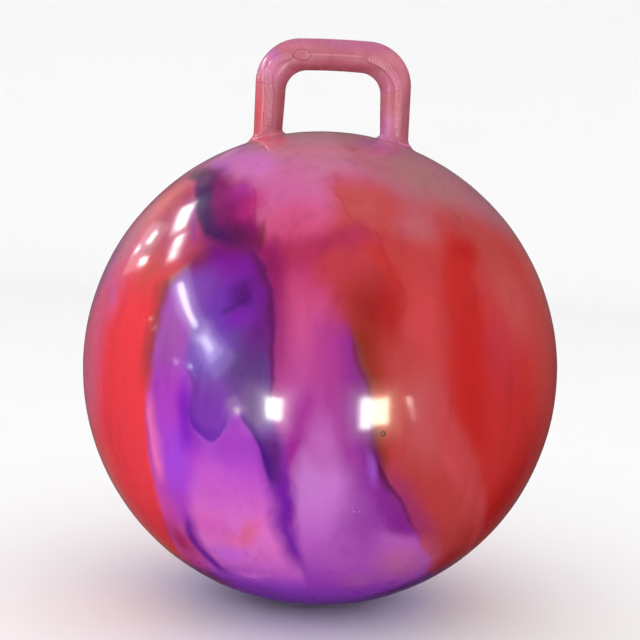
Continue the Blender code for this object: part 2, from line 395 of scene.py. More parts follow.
def ball_material():
    g = vinyl("marbled_vinyl", 0.34, 0.06)
    g.shader.inputs["Coat Weight"].default_value = 0.8
    g.shader.inputs["Coat Roughness"].default_value = 0.11
    g.shader.inputs["Coat IOR"].default_value = 1.5
    m = Marble(g)

    def at(lat):
        return lat / 180 + 0.5

    # ------------ the pale column down the front, from the handle to the underside
    m.colour = g.ramp(
        m.lat_share,
        [
            (at(p), pigment(*c))
            for p, c in (
                # the top two stops, by the handle, are pigment with a painted reflection haze of the bright room laid
                # over it
                (86, (184, 112, 126)),
                (66, (187, 110, 136)),
                (52, (196, 96, 146)),
                (43, (201, 82, 130)),
                (34, (181, 48, 101)),
                (20, (197, 73, 130)),
                (6, (182, 71, 150)),
                (-5, (172, 72, 160)),
                (-14, (198, 118, 202)),
                (-30, (190, 97, 199)),
                (-42, (168, 69, 189)),
                (-60, (153, 62, 205)),
            )
        ],
    )
    m.lay(m.blob(-17, 52, 8, 10, 0, 0.9), (198, 92, 149), 0.8)
    m.lay(m.blob(-10, 42, 7, 5, 10, 0.9), (200, 70, 114), 0.7)

    # ------------ red on the right
    far_right = [(70, 122), (0, 130), (-60, 122)]
    split = [
        (20, 6.0), (17, 6.7), (14, 7.4), (11, 8.3), (8, 9.5), (5, 10.6), (0, 11.4), (-4, 11.9), (-7, 12.6),
        (-10, 13.7), (-13, 15.1), (-16, 16.9), (-20, 19.8), (-24, 22.6), (-28, 25.6), (-33, 31.0), (-36, 34.5),
        (-40, 38.0), (-44, 42.0), (-48, 47.0), (-54, 56.0),
    ]
    m.lay(
        m.band(
            [(60, 2), (56, -1), (52, 0.6), (48, 2.6), (44, 2.6), (40, 0.4), (36, -1.5), (33, -2), (29, -0.5), (26, 2), (23, 3.6), (20, 4.8), (15, 6.4)],
            far_right, (4.8, 12), (56, 7), (16, 4),
        ),
        (185, 56, 57),
    )
    m.lay(m.band(split, far_right, (1.3, 12), (19.5, 3.5), (-56, 6)), (184, 58, 58))
    # a pale haze at the top right with a tan patch in it: painted reflection of the bright room in the gloss
    m.lay(m.above([(2, 70), (8, 65), (14, 60), (20, 53.5), (26, 48), (32, 46), (40, 47.5), (50, 45.5), (60, 42), (75, 38)], 8.0, (6, 10), (100, 14)), (172, 93, 112), 0.9)
    m.lay(m.blob(44, 57, 14, 8, -10, 0.9), (163, 107, 105), 0.8)
    m.lay(m.blob(40, 73, 15, 4.5, 0, 0.95), (162, 62, 136), 0.7)
    m.lay(m.blob(26, 42, 6, 4, 0, 0.9), (181, 100, 114), 0.6)
    m.lay(m.blob(11, 48, 8, 6, 0, 0.9), (187, 84, 85), 0.6)
    m.lay(m.blob(44, 41, 7, 4.5, -6, 0.9), (166, 60, 62), 0.5)
    # crimson that crosses from the column, with brown-red below it
    m.lay(m.across([(-14, 33.6), (-8, 33.8), (-3, 35), (2, 37), (7, 39.4), (11, 40), (15, 38.4)], [(-14, 3.6), (-6, 3.6), (2, 3), (8, 3), (15, 2)], (3.2, 2.6), (-13, 4), (14, 3.5)), (169, 38, 81), 0.85)
    m.lay(m.stroke([(40, 11.5), (36, 13.5), (31, 15.4), (26, 16.4), (21, 15.2)], [(40, 2), (30, 2.6), (21, 2)], (3.4, 1.8), (39, 4), (21, 5)), (190, 42, 40), 0.75)
    m.lay(m.blob(5, 31, 6, 4, 20, 0.9), (182, 48, 70), 0.6)
    m.lay(m.blob(10.6, 22.5, 5.4, 6.4, -14, 0.95), (152, 29, 28), 0.95)
    m.lay(m.blob(15.4, 22, 3.2, 5, 0, 0.9), (168, 9, 4), 0.6)
    m.lay(m.stroke([(20, 9.4), (16, 9.8), (12, 10.8), (8, 11.8), (3, 13)], [(20, 2.2), (14, 2.4), (8, 1.8), (3, 1.2)], (1.5, 3.0), (19, 4), (5, 4)), (142, 32, 4), 0.85)
    m.lay(m.stroke([(20, 6.9), (17, 7.5), (14, 8.2), (11, 9.1), (7, 10.5)], 0.9, (1.2, 1.8), (17, 4), (5, 3)), (114, 61, 54), 0.7)
    m.lay(m.stroke([(-1, 12.4), (-4, 12.9), (-7, 13.6), (-10, 14.7), (-14, 16.2)], 0.9, (1.0, 2.2), (-1, 2), (-11, 3)), (60, 25, 8), 0.75)
    m.lay(
        m.stroke(
            [(54, -1), (52, 1), (50.5, 3.5), (47, 5.2), (43.5, 8), (42, 11), (40.5, 14.2), (37, 15.6), (33, 16.2), (30, 17), (27, 18.5), (25, 19.2), (23, 18.7), (21, 17.6), (18, 16.2)],
            0.4, 0.7, (53, 3), (19, 3),
        ),
        (172, 26, 30), 0.45,
    )
    m.lay(m.blob(23.5, 19, 3.6, 9, 0, 0.9), (205, 65, 71), 0.7)
    m.lay(m.stroke([(12, 22), (2, 22.5), (-6, 24), (-12, 26)], 4.4, 4, (8, 6), (-10, 7)), (190, 83, 89), 0.8)
    # the deep stripe, and deep red beyond it
    deep = [
        (38, 34), (35, 32.4), (32, 30.6), (28, 29.2), (22, 28.8), (16, 28.4), (10, 28.2), (4, 28.8), (0, 30), (-4, 32.5), (-8, 35.6),
        (-12, 38.2), (-16, 40.6), (-20, 43), (-24, 46), (-28, 49.6), (-32, 53.4), (-38, 58), (-46, 64),
    ]
    m.lay(m.band(deep, [(40, 112), (-40, 110)], (2.8, 10), (36.5, 7), (-50, 6)), (190, 39, 39))
    m.lay(m.blob(50, 33, 9, 8, -20, 0.9), (175, 63, 59), 0.8)
    m.lay(m.blob(53, 22, 8, 8, 0, 0.9), (191, 78, 77), 0.8)
    m.lay(m.blob(64, 12, 8, 14, 0, 0.9), (188, 67, 64), 0.7)
    m.lay(m.blob(57, -24, 9, 14, -25, 0.9), (170, 4, 4), 0.85)
    # a rosier patch and a fine line beside the deep stripe
    m.lay(m.blob(44.5, 13, 5.5, 9, 0, 0.9), (184, 48, 66), 0.55)
    m.lay(m.stroke([(18, 37.2), (13, 36.2), (9, 36.0), (2, 36.3)], 0.22, 0.5, (17, 4), (3, 4)), (140, 12, 22), 0.45)
    m.lay(
        m.stroke(
            [(39, 41), (36, 39.6), (33, 37.6), (29, 35.4), (24, 35), (16, 34.8), (8, 34.2), (0, 35), (-6, 38), (-11, 41)],
            [(39, 5), (36, 5.6), (32, 4.8), (28, 4), (18, 3.8), (8, 3.2), (0, 2.6), (-10, 2)], 3.0, (38.5, 3.4), (-8, 6),
        ),
        (185, 30, 27),
    )
    m.lay(m.blob(40, 35.4, 5, 2.4, -8, 0.9), (170, 6, 10), 0.5)
    m.lay(m.stroke([(6, 25.4), (0, 27), (-6, 30.4), (-12, 34), (-18, 37.6), (-26, 43)], [(6, 1.6), (-6, 3), (-16, 3), (-26, 3)], 3.0, (4, 6), (-25, 6)), (195, 66, 72), 0.8)
    m.lay(m.stroke([(-8, 28.5), (-13, 31.5), (-18, 34.4)], 1.2, 2.0, (-8, 3), (-17, 3)), (202, 75, 87), 0.6)
    m.lay(m.stroke([(-20, 42), (-26, 46), (-32, 50), (-38, 52)], 1.8, 2.4, (-20, 4), (-38, 4)), (195, 65, 71), 0.7)
    # crimson beside the split
    m.lay(m.stroke([(-11, 16.6), (-16, 19.4), (-20, 22), (-24, 25), (-28, 28.2), (-32, 31.6)], [(-11, 1.2), (-18, 2.4), (-26, 3.2), (-32, 3)], (1.3, 4.0), (-11, 4), (-32, 4)), (158, 47, 102), 0.9)
    m.lay(m.stroke([(-31, 31), (-35, 34.6), (-39, 38.2), (-43, 42), (-47, 46)], 2.6, (1.8, 3.6), (-30, 4), (-46, 4)), (189, 70, 96), 0.9)
    m.lay(m.blob(47, -42, 5, 5, -40, 0.9), (160, 19, 38), 0.7)

    # ------------ violet along the split
    m.lay(
        m.band(
            [(20, 1), (16, 2), (12, 2.8), (8, 3.2), (4, 3.8), (0, 4.6), (-4, 5.4), (-8, 6.4), (-12, 7.4), (-16, 8.8), (-20, 11), (-24, 13.4), (-28, 17.4), (-31, 24)],
            split, (4.6, 1.1), (18, 4.5), (-30.5, 3),
        ),
        (132, 20, 140), 0.95,
    )
    m.lay(m.stroke([(15, 6), (10, 7.2), (4, 8.8), (0, 9.8), (-5, 10.8), (-9, 12.2), (-13, 13.8), (-18, 17.2), (-24, 21.2)], [(15, 1.4), (0, 1.4), (-8, 1.4), (-16, 1.6), (-24, 2.4)], (2.4, 1.0), (13, 5), (-24, 5)), (131, 40, 128), 0.85)
    m.lay(m.stroke([(-6, 11.6), (-9, 12.7), (-12, 14.2), (-15, 15.8), (-19, 18.6)], 0.7, (1.2, 0.8), (-6, 2.5), (-17, 4)), (66, 4, 52), 0.75)
    m.lay(m.stroke([(-7, 11.0), (-10, 11.7), (-13, 12.2), (-17, 13.4)], 0.8, 1.2, (-8, 2.5), (-15, 3)), (163, 89, 206), 0.75)
    m.lay(m.stroke([(-4, 6.2), (-8, 8.0), (-12, 9.6), (-16, 11)], 0.8, 1.6, (-4, 3), (-15, 4)), (148, 57, 162), 0.6)
    m.lay(m.stroke(split, [(18, 0.5), (4, 0.45), (-8, 0.4), (-28, 0.4)], (0.6, 0.9), (17, 4), (-28, 4)), (100, 11, 4), 0.7)
    # lilac spread under the split
    m.lay(m.blob(27, -39, 10, 5.5, -30, 0.95), (192, 99, 160), 0.85)
    m.lay(m.blob(12, -26, 5, 9, 16, 0.9), (145, 51, 157), 0.8)
    m.lay(m.blob(16, -45, 6, 3, -8, 0.9), (183, 94, 170), 0.6)
    m.lay(m.blob(8, -36, 5, 6, 10, 0.9), (181, 88, 183), 0.5)
    # runs in the column
    m.lay(m.blob(2, 12, 3.4, 7, 8, 0.95), (170, 52, 137), 0.7)
    m.lay(m.stroke([(6, -2.6), (1, -3.2), (-4, -4.2), (-8, -5.6), (-14, -6.0), (-20, -5.9), (-26, -5.4), (-31, -4.4)], [(6, 2.4), (-4, 2.2), (-10, 1.4), (-20, 1.2), (-30, 1.4)], (1.6, 1.5), (3, 5), (-28, 5)), (154, 10, 139), 0.85)
    m.lay(m.stroke([(4, 2.8), (-2, 4.4), (-8, 7), (-12, 9.2)], 1.0, 1.8, (2, 4), (-10, 4)), (172, 50, 149), 0.5)
    m.lay(m.blob(1, -5, 2.6, 4.5, 6, 0.95), (191, 103, 185), 0.8)
    m.lay(m.blob(-2, -14.5, 1.8, 5.5, 4, 0.9), (197, 120, 201), 0.7)

    # ------------ violet on the left of the column
    red_edge = [
        (50, -52), (46, -48), (42, -43), (38, -38.5), (36, -35.5), (34, -33.4), (32, -33), (30, -34.4), (28, -36.6), (26, -38.4),
        (24, -39.2), (20, -39.2), (15, -39.0), (10, -38.9), (5, -39.0), (0, -39.6), (-5, -40.0), (-10, -40.2), (-15, -40.6),
        (-20, -40.4), (-25, -40.4), (-30, -41.4), (-35, -43.4), (-40, -46), (-46, -50),
    ]
    seam = [
        (38, -18.5), (35, -20.5), (34, -19), (32.5, -17.5), (30, -16), (27, -14.5), (24.5, -13), (22, -12), (18, -11.3), (14, -10.8),
        (10, -10.3), (6, -9.9), (2, -9.8), (-2, -9.6), (-6, -9.0), (-10, -8.0), (-14, -7.0), (-20, -6.6), (-26, -5.8),
        (-32, -4.4), (-38, -3.2), (-44, -1.6),
    ]
    violet = g.ramp(
        m.lat_share,
        [
            (at(p), pigment(*c))
            for p, c in (
                (38, (100, 4, 96)),
                (29, (120, 8, 146)),
                (20, (108, 37, 155)),
                (8, (112, 70, 149)),
                (-2, (150, 84, 184)),
                (-12, (182, 75, 202)),
                (-24, (217, 107, 202)),
                (-36, (222, 113, 204)),
                (-45, (194, 90, 210)),
                (-52, (150, 62, 206)),
                (-60, (140, 58, 196)),
            )
        ],
    )
    m.lay(m.band(red_edge, seam, (1.6, 1.0), (36, 4), (-52, 5)), violet)
    m.lay(
        m.band(
            red_edge,
            [(26, -33), (20, -31.5), (14, -30.5), (8, -29.6), (5, -28), (2, -27.6), (-2, -28.2), (-6, -26.6), (-10, -25.6), (-15, -27.2), (-20, -29.6), (-26, -30.6), (-32, -31)],
            (1.6, 2.4), (24, 5), (-32, 5),
        ),
        (177, 60, 194), 0.95,
    )
    m.lay(m.blob(-35.5, 14, 4, 7, 0, 0.95), (157, 87, 162), 0.8)
    m.lay(m.blob(-30, 24, 5, 5, 0, 0.95), (123, 66, 168), 0.7)
    m.lay(m.blob(-25.5, 10, 4.5, 5.5, -30, 0.95), (131, 90, 200), 0.75)
    m.lay(m.stroke([(6, -30), (0, -29.6), (-5, -28.8), (-9, -28.6), (-13, -29.6)], [(6, 1.2), (0, 2), (-8, 2.4), (-13, 1.6)], 2.4, (4, 4), (-11, 4)), (115, 4, 184), 0.8)
    m.lay(m.blob(-32.5, -14, 4.4, 6.5, 0, 0.95), (164, 73, 240), 0.6)
    m.lay(m.blob(-23, 20, 4, 5.5, -20, 0.95), (107, 45, 170), 0.7)
    m.lay(m.blob(-15, 9, 3.6, 6, -8, 0.95), (86, 50, 119), 0.8)
    m.lay(m.blob(-13.6, 17, 2.6, 5, -8, 0.95), (111, 4, 123), 0.7)
    # the rounded lobe, with a dark rim below
    m.lay(m.band([(6, -27.4), (2, -27.4), (-2, -28), (-5, -26.6), (-7, -24.5)], [(6, -19), (2, -19.4), (-2, -19.6), (-5, -20.8), (-7, -22)], (1.0, 1.6), (4, 4), (-6.6, 0.9)), (121, 48, 171), 0.85)
    m.lay(m.across([(-28, -2.4), (-27, -4.2), (-25, -6), (-23, -6.9), (-21.2, -6.2), (-20, -4.4), (-19.2, -1.5)], 0.8, (0.6, 2.4), (-27.8, 1.2), (-19.3, 1.2)), (81, 4, 163), 0.85)
    m.lay(m.stroke([(8, -29.6), (5.5, -28), (4, -27), (0, -27.7), (-3, -28)], 0.5, 1.0, (7, 1.5), (-3, 2)), (107, 34, 159), 0.7)
    m.lay(m.band([(0, -17.4), (-3, -18.6), (-6, -20), (-9, -22.5)], [(0, -16.4), (-3, -14.4), (-6, -12.2), (-10, -10), (-14, -8.8)], (1.6, 1.0), (-0.8, 1.6), (-11, 4)), (168, 59, 192), 0.85)
    m.lay(m.band([(4, -16.6), (-2, -15), (-6, -12.4), (-9, -10.6)], [(4, -9), (-3, -9.2), (-9, -8.8)], (1.4, 1.4), (4, 4), (-7, 3)), (111, 87, 132), 0.8)
    # the dark curl under it, which runs down as a violet tail
    m.lay(m.stroke([(-3, -10.2), (-7, -9.4), (-10, -8.4), (-14, -7.6), (-18, -7.0), (-22, -6.8), (-26, -6.8), (-30, -6.0), (-34, -4.8), (-38, -3.8), (-43, -2.4)], [(-3, 1.8), (-10, 2.0), (-18, 2.3), (-26, 2.2), (-34, 2.0), (-42, 1.8)], (2.8, 1.9), (-3, 3), (-39, 5)), (111, 15, 161), 0.95)
    m.lay(m.stroke([(-5, -10), (-8, -9.2), (-12, -8.4), (-16, -7.8)], [(-5, 1.8), (-10, 1.5), (-16, 0.8)], (1.2, 1.8), (-5, 2), (-15, 3)), (103, 38, 117), 0.85)
    m.lay(m.stroke([(1, -17.2), (-2, -15.2), (-4, -13.6), (-6, -12.2), (-8, -11.1), (-10, -10.1), (-12, -9.5), (-14, -9.0), (-17, -8.4)], [(1, 0.3), (-4, 0.6), (-8, 0.8), (-12, 0.8), (-16, 0.5)], (0.6, 1.6), (0, 2), (-15, 2.4)), (55, 4, 122), 0.9)
    # pink pool with coral islands
    m.lay(m.blob(-22.5, -18, 3.4, 5, 20, 0.95), (204, 93, 203), 0.7)
    m.lay(m.blob(-26.5, -29, 4.2, 3.6, 0, 0.95), (217, 88, 188), 0.65)
    m.lay(m.blob(-15.8, -29.8, 4.6, 1.9, 48, 0.9), (225, 102, 153), 0.9)
    m.lay(m.blob(-20, -33, 3.0, 2.0, 10, 0.9), (234, 109, 175), 0.6)
    m.lay(m.blob(-24, -38, 5, 2.4, 4, 0.9), (202, 102, 226), 0.75)
    m.lay(m.across([(-24, -46.4), (-20, -46), (-16, -45.4), (-12, -44.6)], 0.9, 1.0, (-23, 2), (-13, 2)), (222, 115, 226), 0.8)
    # the dark eye
    m.lay(m.blob(-18.6, 23.6, 3.0, 3.4, 20, 0.9), (83, 4, 109), 0.9)
    m.lay(m.across([(-23, 19.9), (-21, 20.5), (-19, 21.6), (-17, 23.5)], 0.5, 0.9, (-23, 1.2), (-16.5, 1)), (68, 4, 102), 0.7)
    m.lay(m.blob(-18.6, 18.6, 2.6, 1.8, 10, 0.9), (128, 6, 171), 0.6)

    # ------------ red on the left
    far_left = [(60, -122), (0, -128), (-60, -122)]
    m.lay(m.band(far_left, red_edge, (12, 4.2), (51, 4), (24, 4)), (178, 55, 92))
    m.lay(m.band(far_left, red_edge, (12, 1.5), (28.5, 4), (-50, 6)), (238, 58, 70))
    m.lay(m.blob(-33, 30.6, 3.4, 2.6, 30, 0.95), (120, 4, 57), 0.7)
    m.lay(m.blob(-48, 27, 7, 5, 0, 0.95), (200, 75, 71), 0.7)
    m.lay(m.stroke([(29, -36.6), (26, -38.8), (24, -39.8), (18, -40.0), (12, -39.9), (6, -40.0), (1, -40.4)], [(29, 1.6), (20, 1.5), (8, 1.2), (1, 0.8)], (3.4, 1.2), (28, 4), (3, 6)), (88, 61, 60), 0.7)
    # pinker towards the left rim, a pale salmon patch and a grey-pink haze at the rim: painted reflection and
    # highlight of the bright room in the gloss
    m.lay(m.band(far_left, [(42, -62), (32, -58), (20, -57), (10, -60), (0, -60), (-10, -62), (-20, -66)], (12, 5.5), (46, 7), (-10, 8)), (221, 91, 132), 0.85)
    m.lay(m.blob(-66, 44, 8, 8, 0, 0.9), (246, 137, 131), 0.7)
    m.lay(m.blob(-70, 33, 6, 8, 0, 0.9), (195, 135, 149), 0.6)
    m.lay(m.across([(-78, 30), (-70, 25), (-64, 21), (-57, 16.5)], 1.6, 2.4, (-80, 6), (-58, 4)), (211, 94, 169), 0.7)
    m.lay(m.blob(-78, 24, 6, 10, 0, 0.9), (150, 95, 156), 0.7)
    m.lay(m.blob(-51, -45, 10, 5, 0, 0.9), (246, 74, 60), 0.7)
    # dark maroon low at the left rim: painted shade
    m.lay(m.blob(-50, -54, 14, 5, 0, 0.9), (135, 17, 45), 0.85)
    # its lower border: a pale rim, then maroon with a plum run
    m.lay(m.stroke([(2, -38.6), (-4, -38.6), (-10, -38.2), (-16, -38.3), (-21, -38.8)], 1.2, (1.0, 2.2), (-1, 4), (-19, 4)), (246, 119, 181), 0.9)
    m.lay(m.blob(-38.8, -27, 2.6, 6, 0, 0.95), (211, 76, 165), 0.75)
    m.lay(m.blob(-40, -38, 5, 6.5, 0, 0.95), (177, 4, 76), 0.85)
    m.lay(m.blob(-40.5, -45, 4.5, 3.5, 0, 0.9), (220, 76, 170), 0.7)
    m.lay(m.stroke([(-27, -33.2), (-31, -33.4), (-34, -34.2), (-37, -34.0), (-40, -33), (-44, -31), (-48, -29)], [(-27, 1), (-34, 1.8), (-40, 2), (-46, 2.2)], (1.6, 2.2), (-28, 3), (-47, 3)), (111, 4, 152), 0.9)

    # ------------ the curl that crosses the upper left: lilac, plum, then navy
    m.lay(m.across([(-95, 74), (-60, 73), (-45, 71.5), (-32, 69.5)], 3.2, 2.8, (-100, 14), (-36, 7)), (206, 84, 104), 0.75)
    m.lay(m.across([(-80, 66), (-66, 63.4), (-55, 62), (-45, 61), (-35, 60), (-26, 58)], [(-80, 3), (-60, 4.4), (-40, 5), (-26, 3.4)], 3.6, (-90, 10), (-24, 7)), (202, 106, 180), 0.9)
    m.lay(m.across([(-80, 68.4), (-70, 67.6), (-62, 66.2), (-54, 64)], 0.9, 1.6, (-82, 8), (-55, 5)), (179, 81, 169), 0.75)
    m.lay(m.across([(-66, 58.6), (-58, 58.2), (-50, 57), (-42, 55.6)], 1.4, 2.0, (-64, 4), (-44, 5)), (190, 98, 198), 0.8)
    m.lay(m.blob(-68, 63.5, 5, 3.4, -6, 0.9), (232, 156, 204), 0.6)
    m.lay(
        m.across(
            [(-66, 54.6), (-60, 54.6), (-55, 54.2), (-50, 52.8), (-45, 50.4), (-40, 47.6), (-35, 45.4), (-30, 43.8), (-26, 42), (-22, 39.4), (-18.5, 36.4), (-16, 33.4)],
            [(-66, 1.2), (-60, 2.0), (-55, 2.8), (-50, 4), (-45, 5.2), (-40, 6.2), (-35, 6.8), (-30, 7.4), (-26, 7.0), (-22, 5.2), (-18.5, 2.8), (-16, 1.4)],
            (2.0, 2.8), (-66, 5), (-15.6, 2.0),
        ),
        (130, 6, 98),
    )
    m.lay(m.blob(-31, 50.5, 5, 3, -14, 0.95), (170, 34, 140), 0.8)
    m.lay(m.blob(-24, 46, 3.4, 4, -30, 0.95), (187, 32, 114), 0.7)
    m.lay(m.blob(-25, 37.5, 6, 3, -14, 0.95), (100, 4, 74), 0.95)
    m.lay(m.stroke([(36, -14.8), (32, -13.8), (28, -12), (24, -10.4), (20, -9.6), (16, -9.2), (12, -8.8), (7, -8.2)], [(36, 1.4), (28, 2.2), (20, 1.4), (8, 1.2)], (1.6, 3.8), (36, 4), (8, 5)), (138, 4, 94), 0.85)
    m.lay(m.stroke([(43, -18.2), (40, -17.8), (37, -17.2), (34, -16.2)], [(43, 0.4), (38, 0.8), (34, 0.6)], (2.6, 0.8), (42, 2.4), (34, 3)), (87, 4, 4), 0.8)
    m.lay(m.blob(-13, 32, 2.4, 5, 10, 0.95), (137, 4, 84), 0.75)
    navy = [(-74, 53.4), (-70, 54), (-64, 54.2), (-58, 53.8), (-53, 52.4), (-48, 49.6), (-44, 46.8), (-40, 43.2), (-36, 40.4), (-32, 38.2), (-28, 36.6), (-23, 35.4)]
    m.lay(m.across(navy, [(-70, 1.4), (-60, 1.8), (-52, 2.8), (-46, 3.6), (-40, 3), (-34, 2.4), (-28, 1.8)], (1.4, 2.8), (-69, 5), (-24, 5)), (66, 12, 87), 0.95)
    m.lay(m.blob(-54, 52.6, 5, 2.2, -14, 0.95), (117, 66, 113), 0.8)
    m.lay(m.across(navy, 1.8, (1.2, 2.0), (-72, 4), (-60, 5)), (130, 90, 94), 0.8)
    m.lay(m.across([(-52, 46.6), (-47, 43.8), (-43, 41), (-39, 37.6), (-35, 34.6)], 1.0, (2.4, 1.2), (-50, 4), (-36, 3)), (91, 4, 152), 0.65)
    m.lay(m.blob(-43.5, 45.5, 3.0, 1.6, -34, 0.9), (84, 65, 98), 0.6)
    # thin dark runs that split violet from pink
    m.lay(m.stroke([(52, -28), (50.5, -26.6), (49, -25.3), (47, -23.6), (45, -22.2), (43, -21), (40, -19.8), (37, -18.6)], 0.35, 0.6, (51.5, 1.5), (37, 2)), (152, 4, 85), 0.55)
    m.lay(m.stroke(seam, [(36, 0.7), (30, 1.3), (24, 1.2), (16, 0.8), (8, 0.5)], (2.2, 0.8), (35.5, 1.4), (6, 3)), (103, 4, 99), 0.9)
    m.lay(m.stroke(seam, [(36, 0.3), (26, 0.5), (14, 0.4), (-2, 0.3)], (0.7, 0.45), (35, 2.5), (0, 4)), (89, 8, 85), 0.75)

    # ------------ underside: the dark purple patch low on the ball is painted shade
    m.lay(m.blob(40, -53, 16, 4.0, 22, 0.9), (92, 25, 114), 0.85)

    # ------------ the right side
    m.lay(m.blob(76, 26, 8, 11, 0, 0.95), (204, 84, 79), 0.6)
    m.lay(m.blob(88, 18, 6, 10, 10, 0.95), (150, 28, 28), 0.7)
    m.lay(m.stroke([(56, 84), (30, 91), (10, 89), (-10, 93), (-35, 87), (-55, 90)], [(56, 3), (20, 5), (-30, 4)], (6, 3), (48, 8), (-50, 8)), (170, 34, 86), 0.85)
    m.lay(m.stroke([(40, 96), (26, 94.6), (8, 93), (-10, 96.4), (-24, 93)], 0.4, (0.6, 1.4), (34, 6), (-18, 6)), (98, 8, 52), 0.7)
    m.lay(m.band([(64, 100), (30, 101), (0, 99), (-24, 101), (-50, 98)], [(64, 116), (30, 120), (0, 114), (-50, 118)], (2.6, 7), (60, 9), (-54, 8)), (204, 88, 150), 0.9)
    m.lay(m.blob(104, -22, 5, 17, 8, 0.95), (146, 52, 164), 0.8)
    m.lay(m.blob(110, 14, 5, 14, -6, 0.95), (216, 120, 176), 0.6)
    m.lay(m.across([(84, 44), (94, 40), (104, 42), (116, 38)], 2.2, 3.4, (86, 7), (112, 7)), (158, 34, 92), 0.7)

    # ------------ the left side
    m.lay(m.stroke([(34, -88), (12, -84), (-8, -80), (-30, -77)], [(34, 3), (0, 5), (-30, 6)], (6, 5), (26, 10), (-26, 8)), (236, 64, 76), 0.85)
    m.lay(m.blob(-92, 6, 7, 13, 6, 0.95), (218, 122, 164), 0.7)
    m.lay(m.stroke([(52, -96), (30, -98), (10, -100), (-12, -97), (-34, -92), (-52, -94)], [(52, 2.4), (20, 4.6), (-10, 5), (-40, 4)], (2.4, 6), (48, 8), (-48, 8)), (160, 28, 112), 0.85)
    m.lay(m.band([(54, -118), (24, -115), (0, -117), (-24, -112), (-52, -110)], [(54, -106), (30, -103.4), (10, -104.6), (-12, -102), (-34, -98), (-52, -99)], (6, 1.4), (52, 8), (-54, 8)), (116, 30, 156), 0.9)
    m.lay(m.stroke([(54, -106), (30, -103.4), (10, -104.6), (-12, -102), (-34, -98), (-52, -99)], 0.45, (1.2, 0.6), (46, 6), (-36, 8)), (54, 4, 74), 0.75)
    m.lay(m.blob(-110, 4, 4, 12, -4, 0.95), (88, 58, 138), 0.75)
    m.lay(m.blob(-86, -34, 8, 13, 0, 0.95), (204, 96, 178), 0.75)
    m.lay(m.across([(-112, 44), (-98, 47), (-86, 45), (-78, 41)], 2.2, (2.2, 3.4), (-110, 6), (-80, 6)), (140, 22, 104), 0.7)

    # ------------ the back, in the same manner
    m.lay(m.band([(60, -52), (20, -46), (-20, -50), (-60, -40)], [(60, 56), (20, 48), (-20, 52), (-60, 44)], (9, 9), (66, 9), (-58, 8), "back"), (206, 78, 134))
    m.lay(m.blob(-36, -12, 6, 16, 6, 0.95, "back"), (222, 84, 104), 0.7)
    m.lay(m.blob(-2, 44, 9, 8, 0, 0.95, "back"), (198, 98, 150), 0.7)
    m.lay(m.across([(-70, 55), (-46, 58), (-22, 53), (4, 57), (30, 53), (62, 58)], [(-70, 2), (-30, 4), (10, 2.6), (60, 3.4)], (4, 3), (-66, 10), (58, 10), "back"), (188, 108, 156), 0.75)
    m.lay(m.blob(-34, 48, 8, 6, -12, 0.95, "back"), (202, 108, 184), 0.7)
    m.lay(m.blob(36, 49, 9, 5, 10, 0.95, "back"), (190, 66, 82), 0.65)
    m.lay(m.blob(46, 10, 7, 18, 0, 0.95, "back"), (212, 112, 160), 0.7)
    m.lay(m.across([(-34, 38), (-14, 33), (4, 36), (24, 40), (40, 36)], [(-34, 2), (-10, 3.6), (20, 2.8), (40, 1.6)], (3.6, 2.6), (-32, 6), (36, 6), "back"), (172, 40, 92), 0.75)
    m.lay(m.stroke([(48, -46), (10, -41), (-20, -44), (-50, -36)], [(48, 2), (10, 4.4), (-40, 3)], (6, 2.2), (44, 8), (-48, 8), "back"), (150, 24, 104), 0.85)
    violet_edge = [(56, -15), (40, -12), (26, -8.6), (10, -9.4), (-6, -10), (-20, -5), (-36, -1), (-56, 5)]
    m.lay(m.band([(60, -26), (30, -30), (0, -26), (-30, -20), (-60, -8)], violet_edge, (5.5, 1.2), (54, 8), (-56, 8), "back"), (116, 28, 156), 0.95)
    m.lay(m.blob(-17, 14, 7, 13, -8, 0.95, "back"), (86, 62, 142), 0.8)
    m.lay(m.blob(-20, -12, 5, 9, 14, 0.95, "back"), (150, 70, 196), 0.7)
    m.lay(m.blob(-13, 28, 4, 5, 0, 0.95, "back"), (92, 6, 112), 0.75)
    m.lay(m.stroke(violet_edge, [(54, 0.3), (20, 0.6), (-20, 0.5), (-50, 0.3)], (1.2, 0.5), (48, 6), (-38, 10), "back"), (48, 4, 66), 0.75)
    m.lay(m.stroke([(30, -4), (12, -4.4), (-6, -4.6), (-22, 1)], 0.35, (0.6, 0.9), (24, 6), (-18, 6), "back"), (132, 12, 84), 0.55)
    m.lay(m.band([(40, -4), (0, 0), (-40, 8)], [(40, 6), (0, 9), (-40, 16)], (4, 5), (12, 14), (-56, 8), "back"), (198, 112, 196), 0.85)
    red_side = [(52, 12), (36, 14.6), (20, 17), (6, 16), (-10, 13.4), (-26, 15.6), (-50, 20)]
    m.lay(m.band(red_side, [(50, 28), (20, 33), (-10, 30), (-50, 40)], (1.2, 6), (56, 9), (-60, 8), "back"), (224, 50, 58))
    m.lay(m.blob(23, 18, 5, 8, -10, 0.95, "back"), (156, 28, 28), 0.8)
    m.lay(m.blob(27, -20, 4, 12, 6, 0.95, "back"), (206, 80, 84), 0.7)
    m.lay(m.stroke(red_side, [(50, 0.4), (20, 0.8), (-10, 0.5), (-40, 0.4)], (1.6, 0.7), (48, 7), (-38, 8), "back"), (102, 14, 72), 0.75)
    m.lay(m.blob(44, -28, 6, 13, -10, 0.95, "back"), (142, 48, 168), 0.75)

    colour = m.colour
    # drawn-out streaks and soft clouding in the pigment
    colour = g.mix(g.fade(m.streak, 0.50, 0.78, 0.0, 0.5), colour, (0.72, 0.60, 0.68, 1.0), "MULTIPLY")
    colour = g.mix(g.fade(m.streak, 0.46, 0.22, 0.0, 0.5), colour, (1.06, 1.08, 1.06, 1.0), "MULTIPLY")
    colour = g.mix(g.fade(m.cloud, 0.50, 0.75, 0.0, 0.5), colour, (1.04, 1.06, 1.04, 1.0), "MULTIPLY")

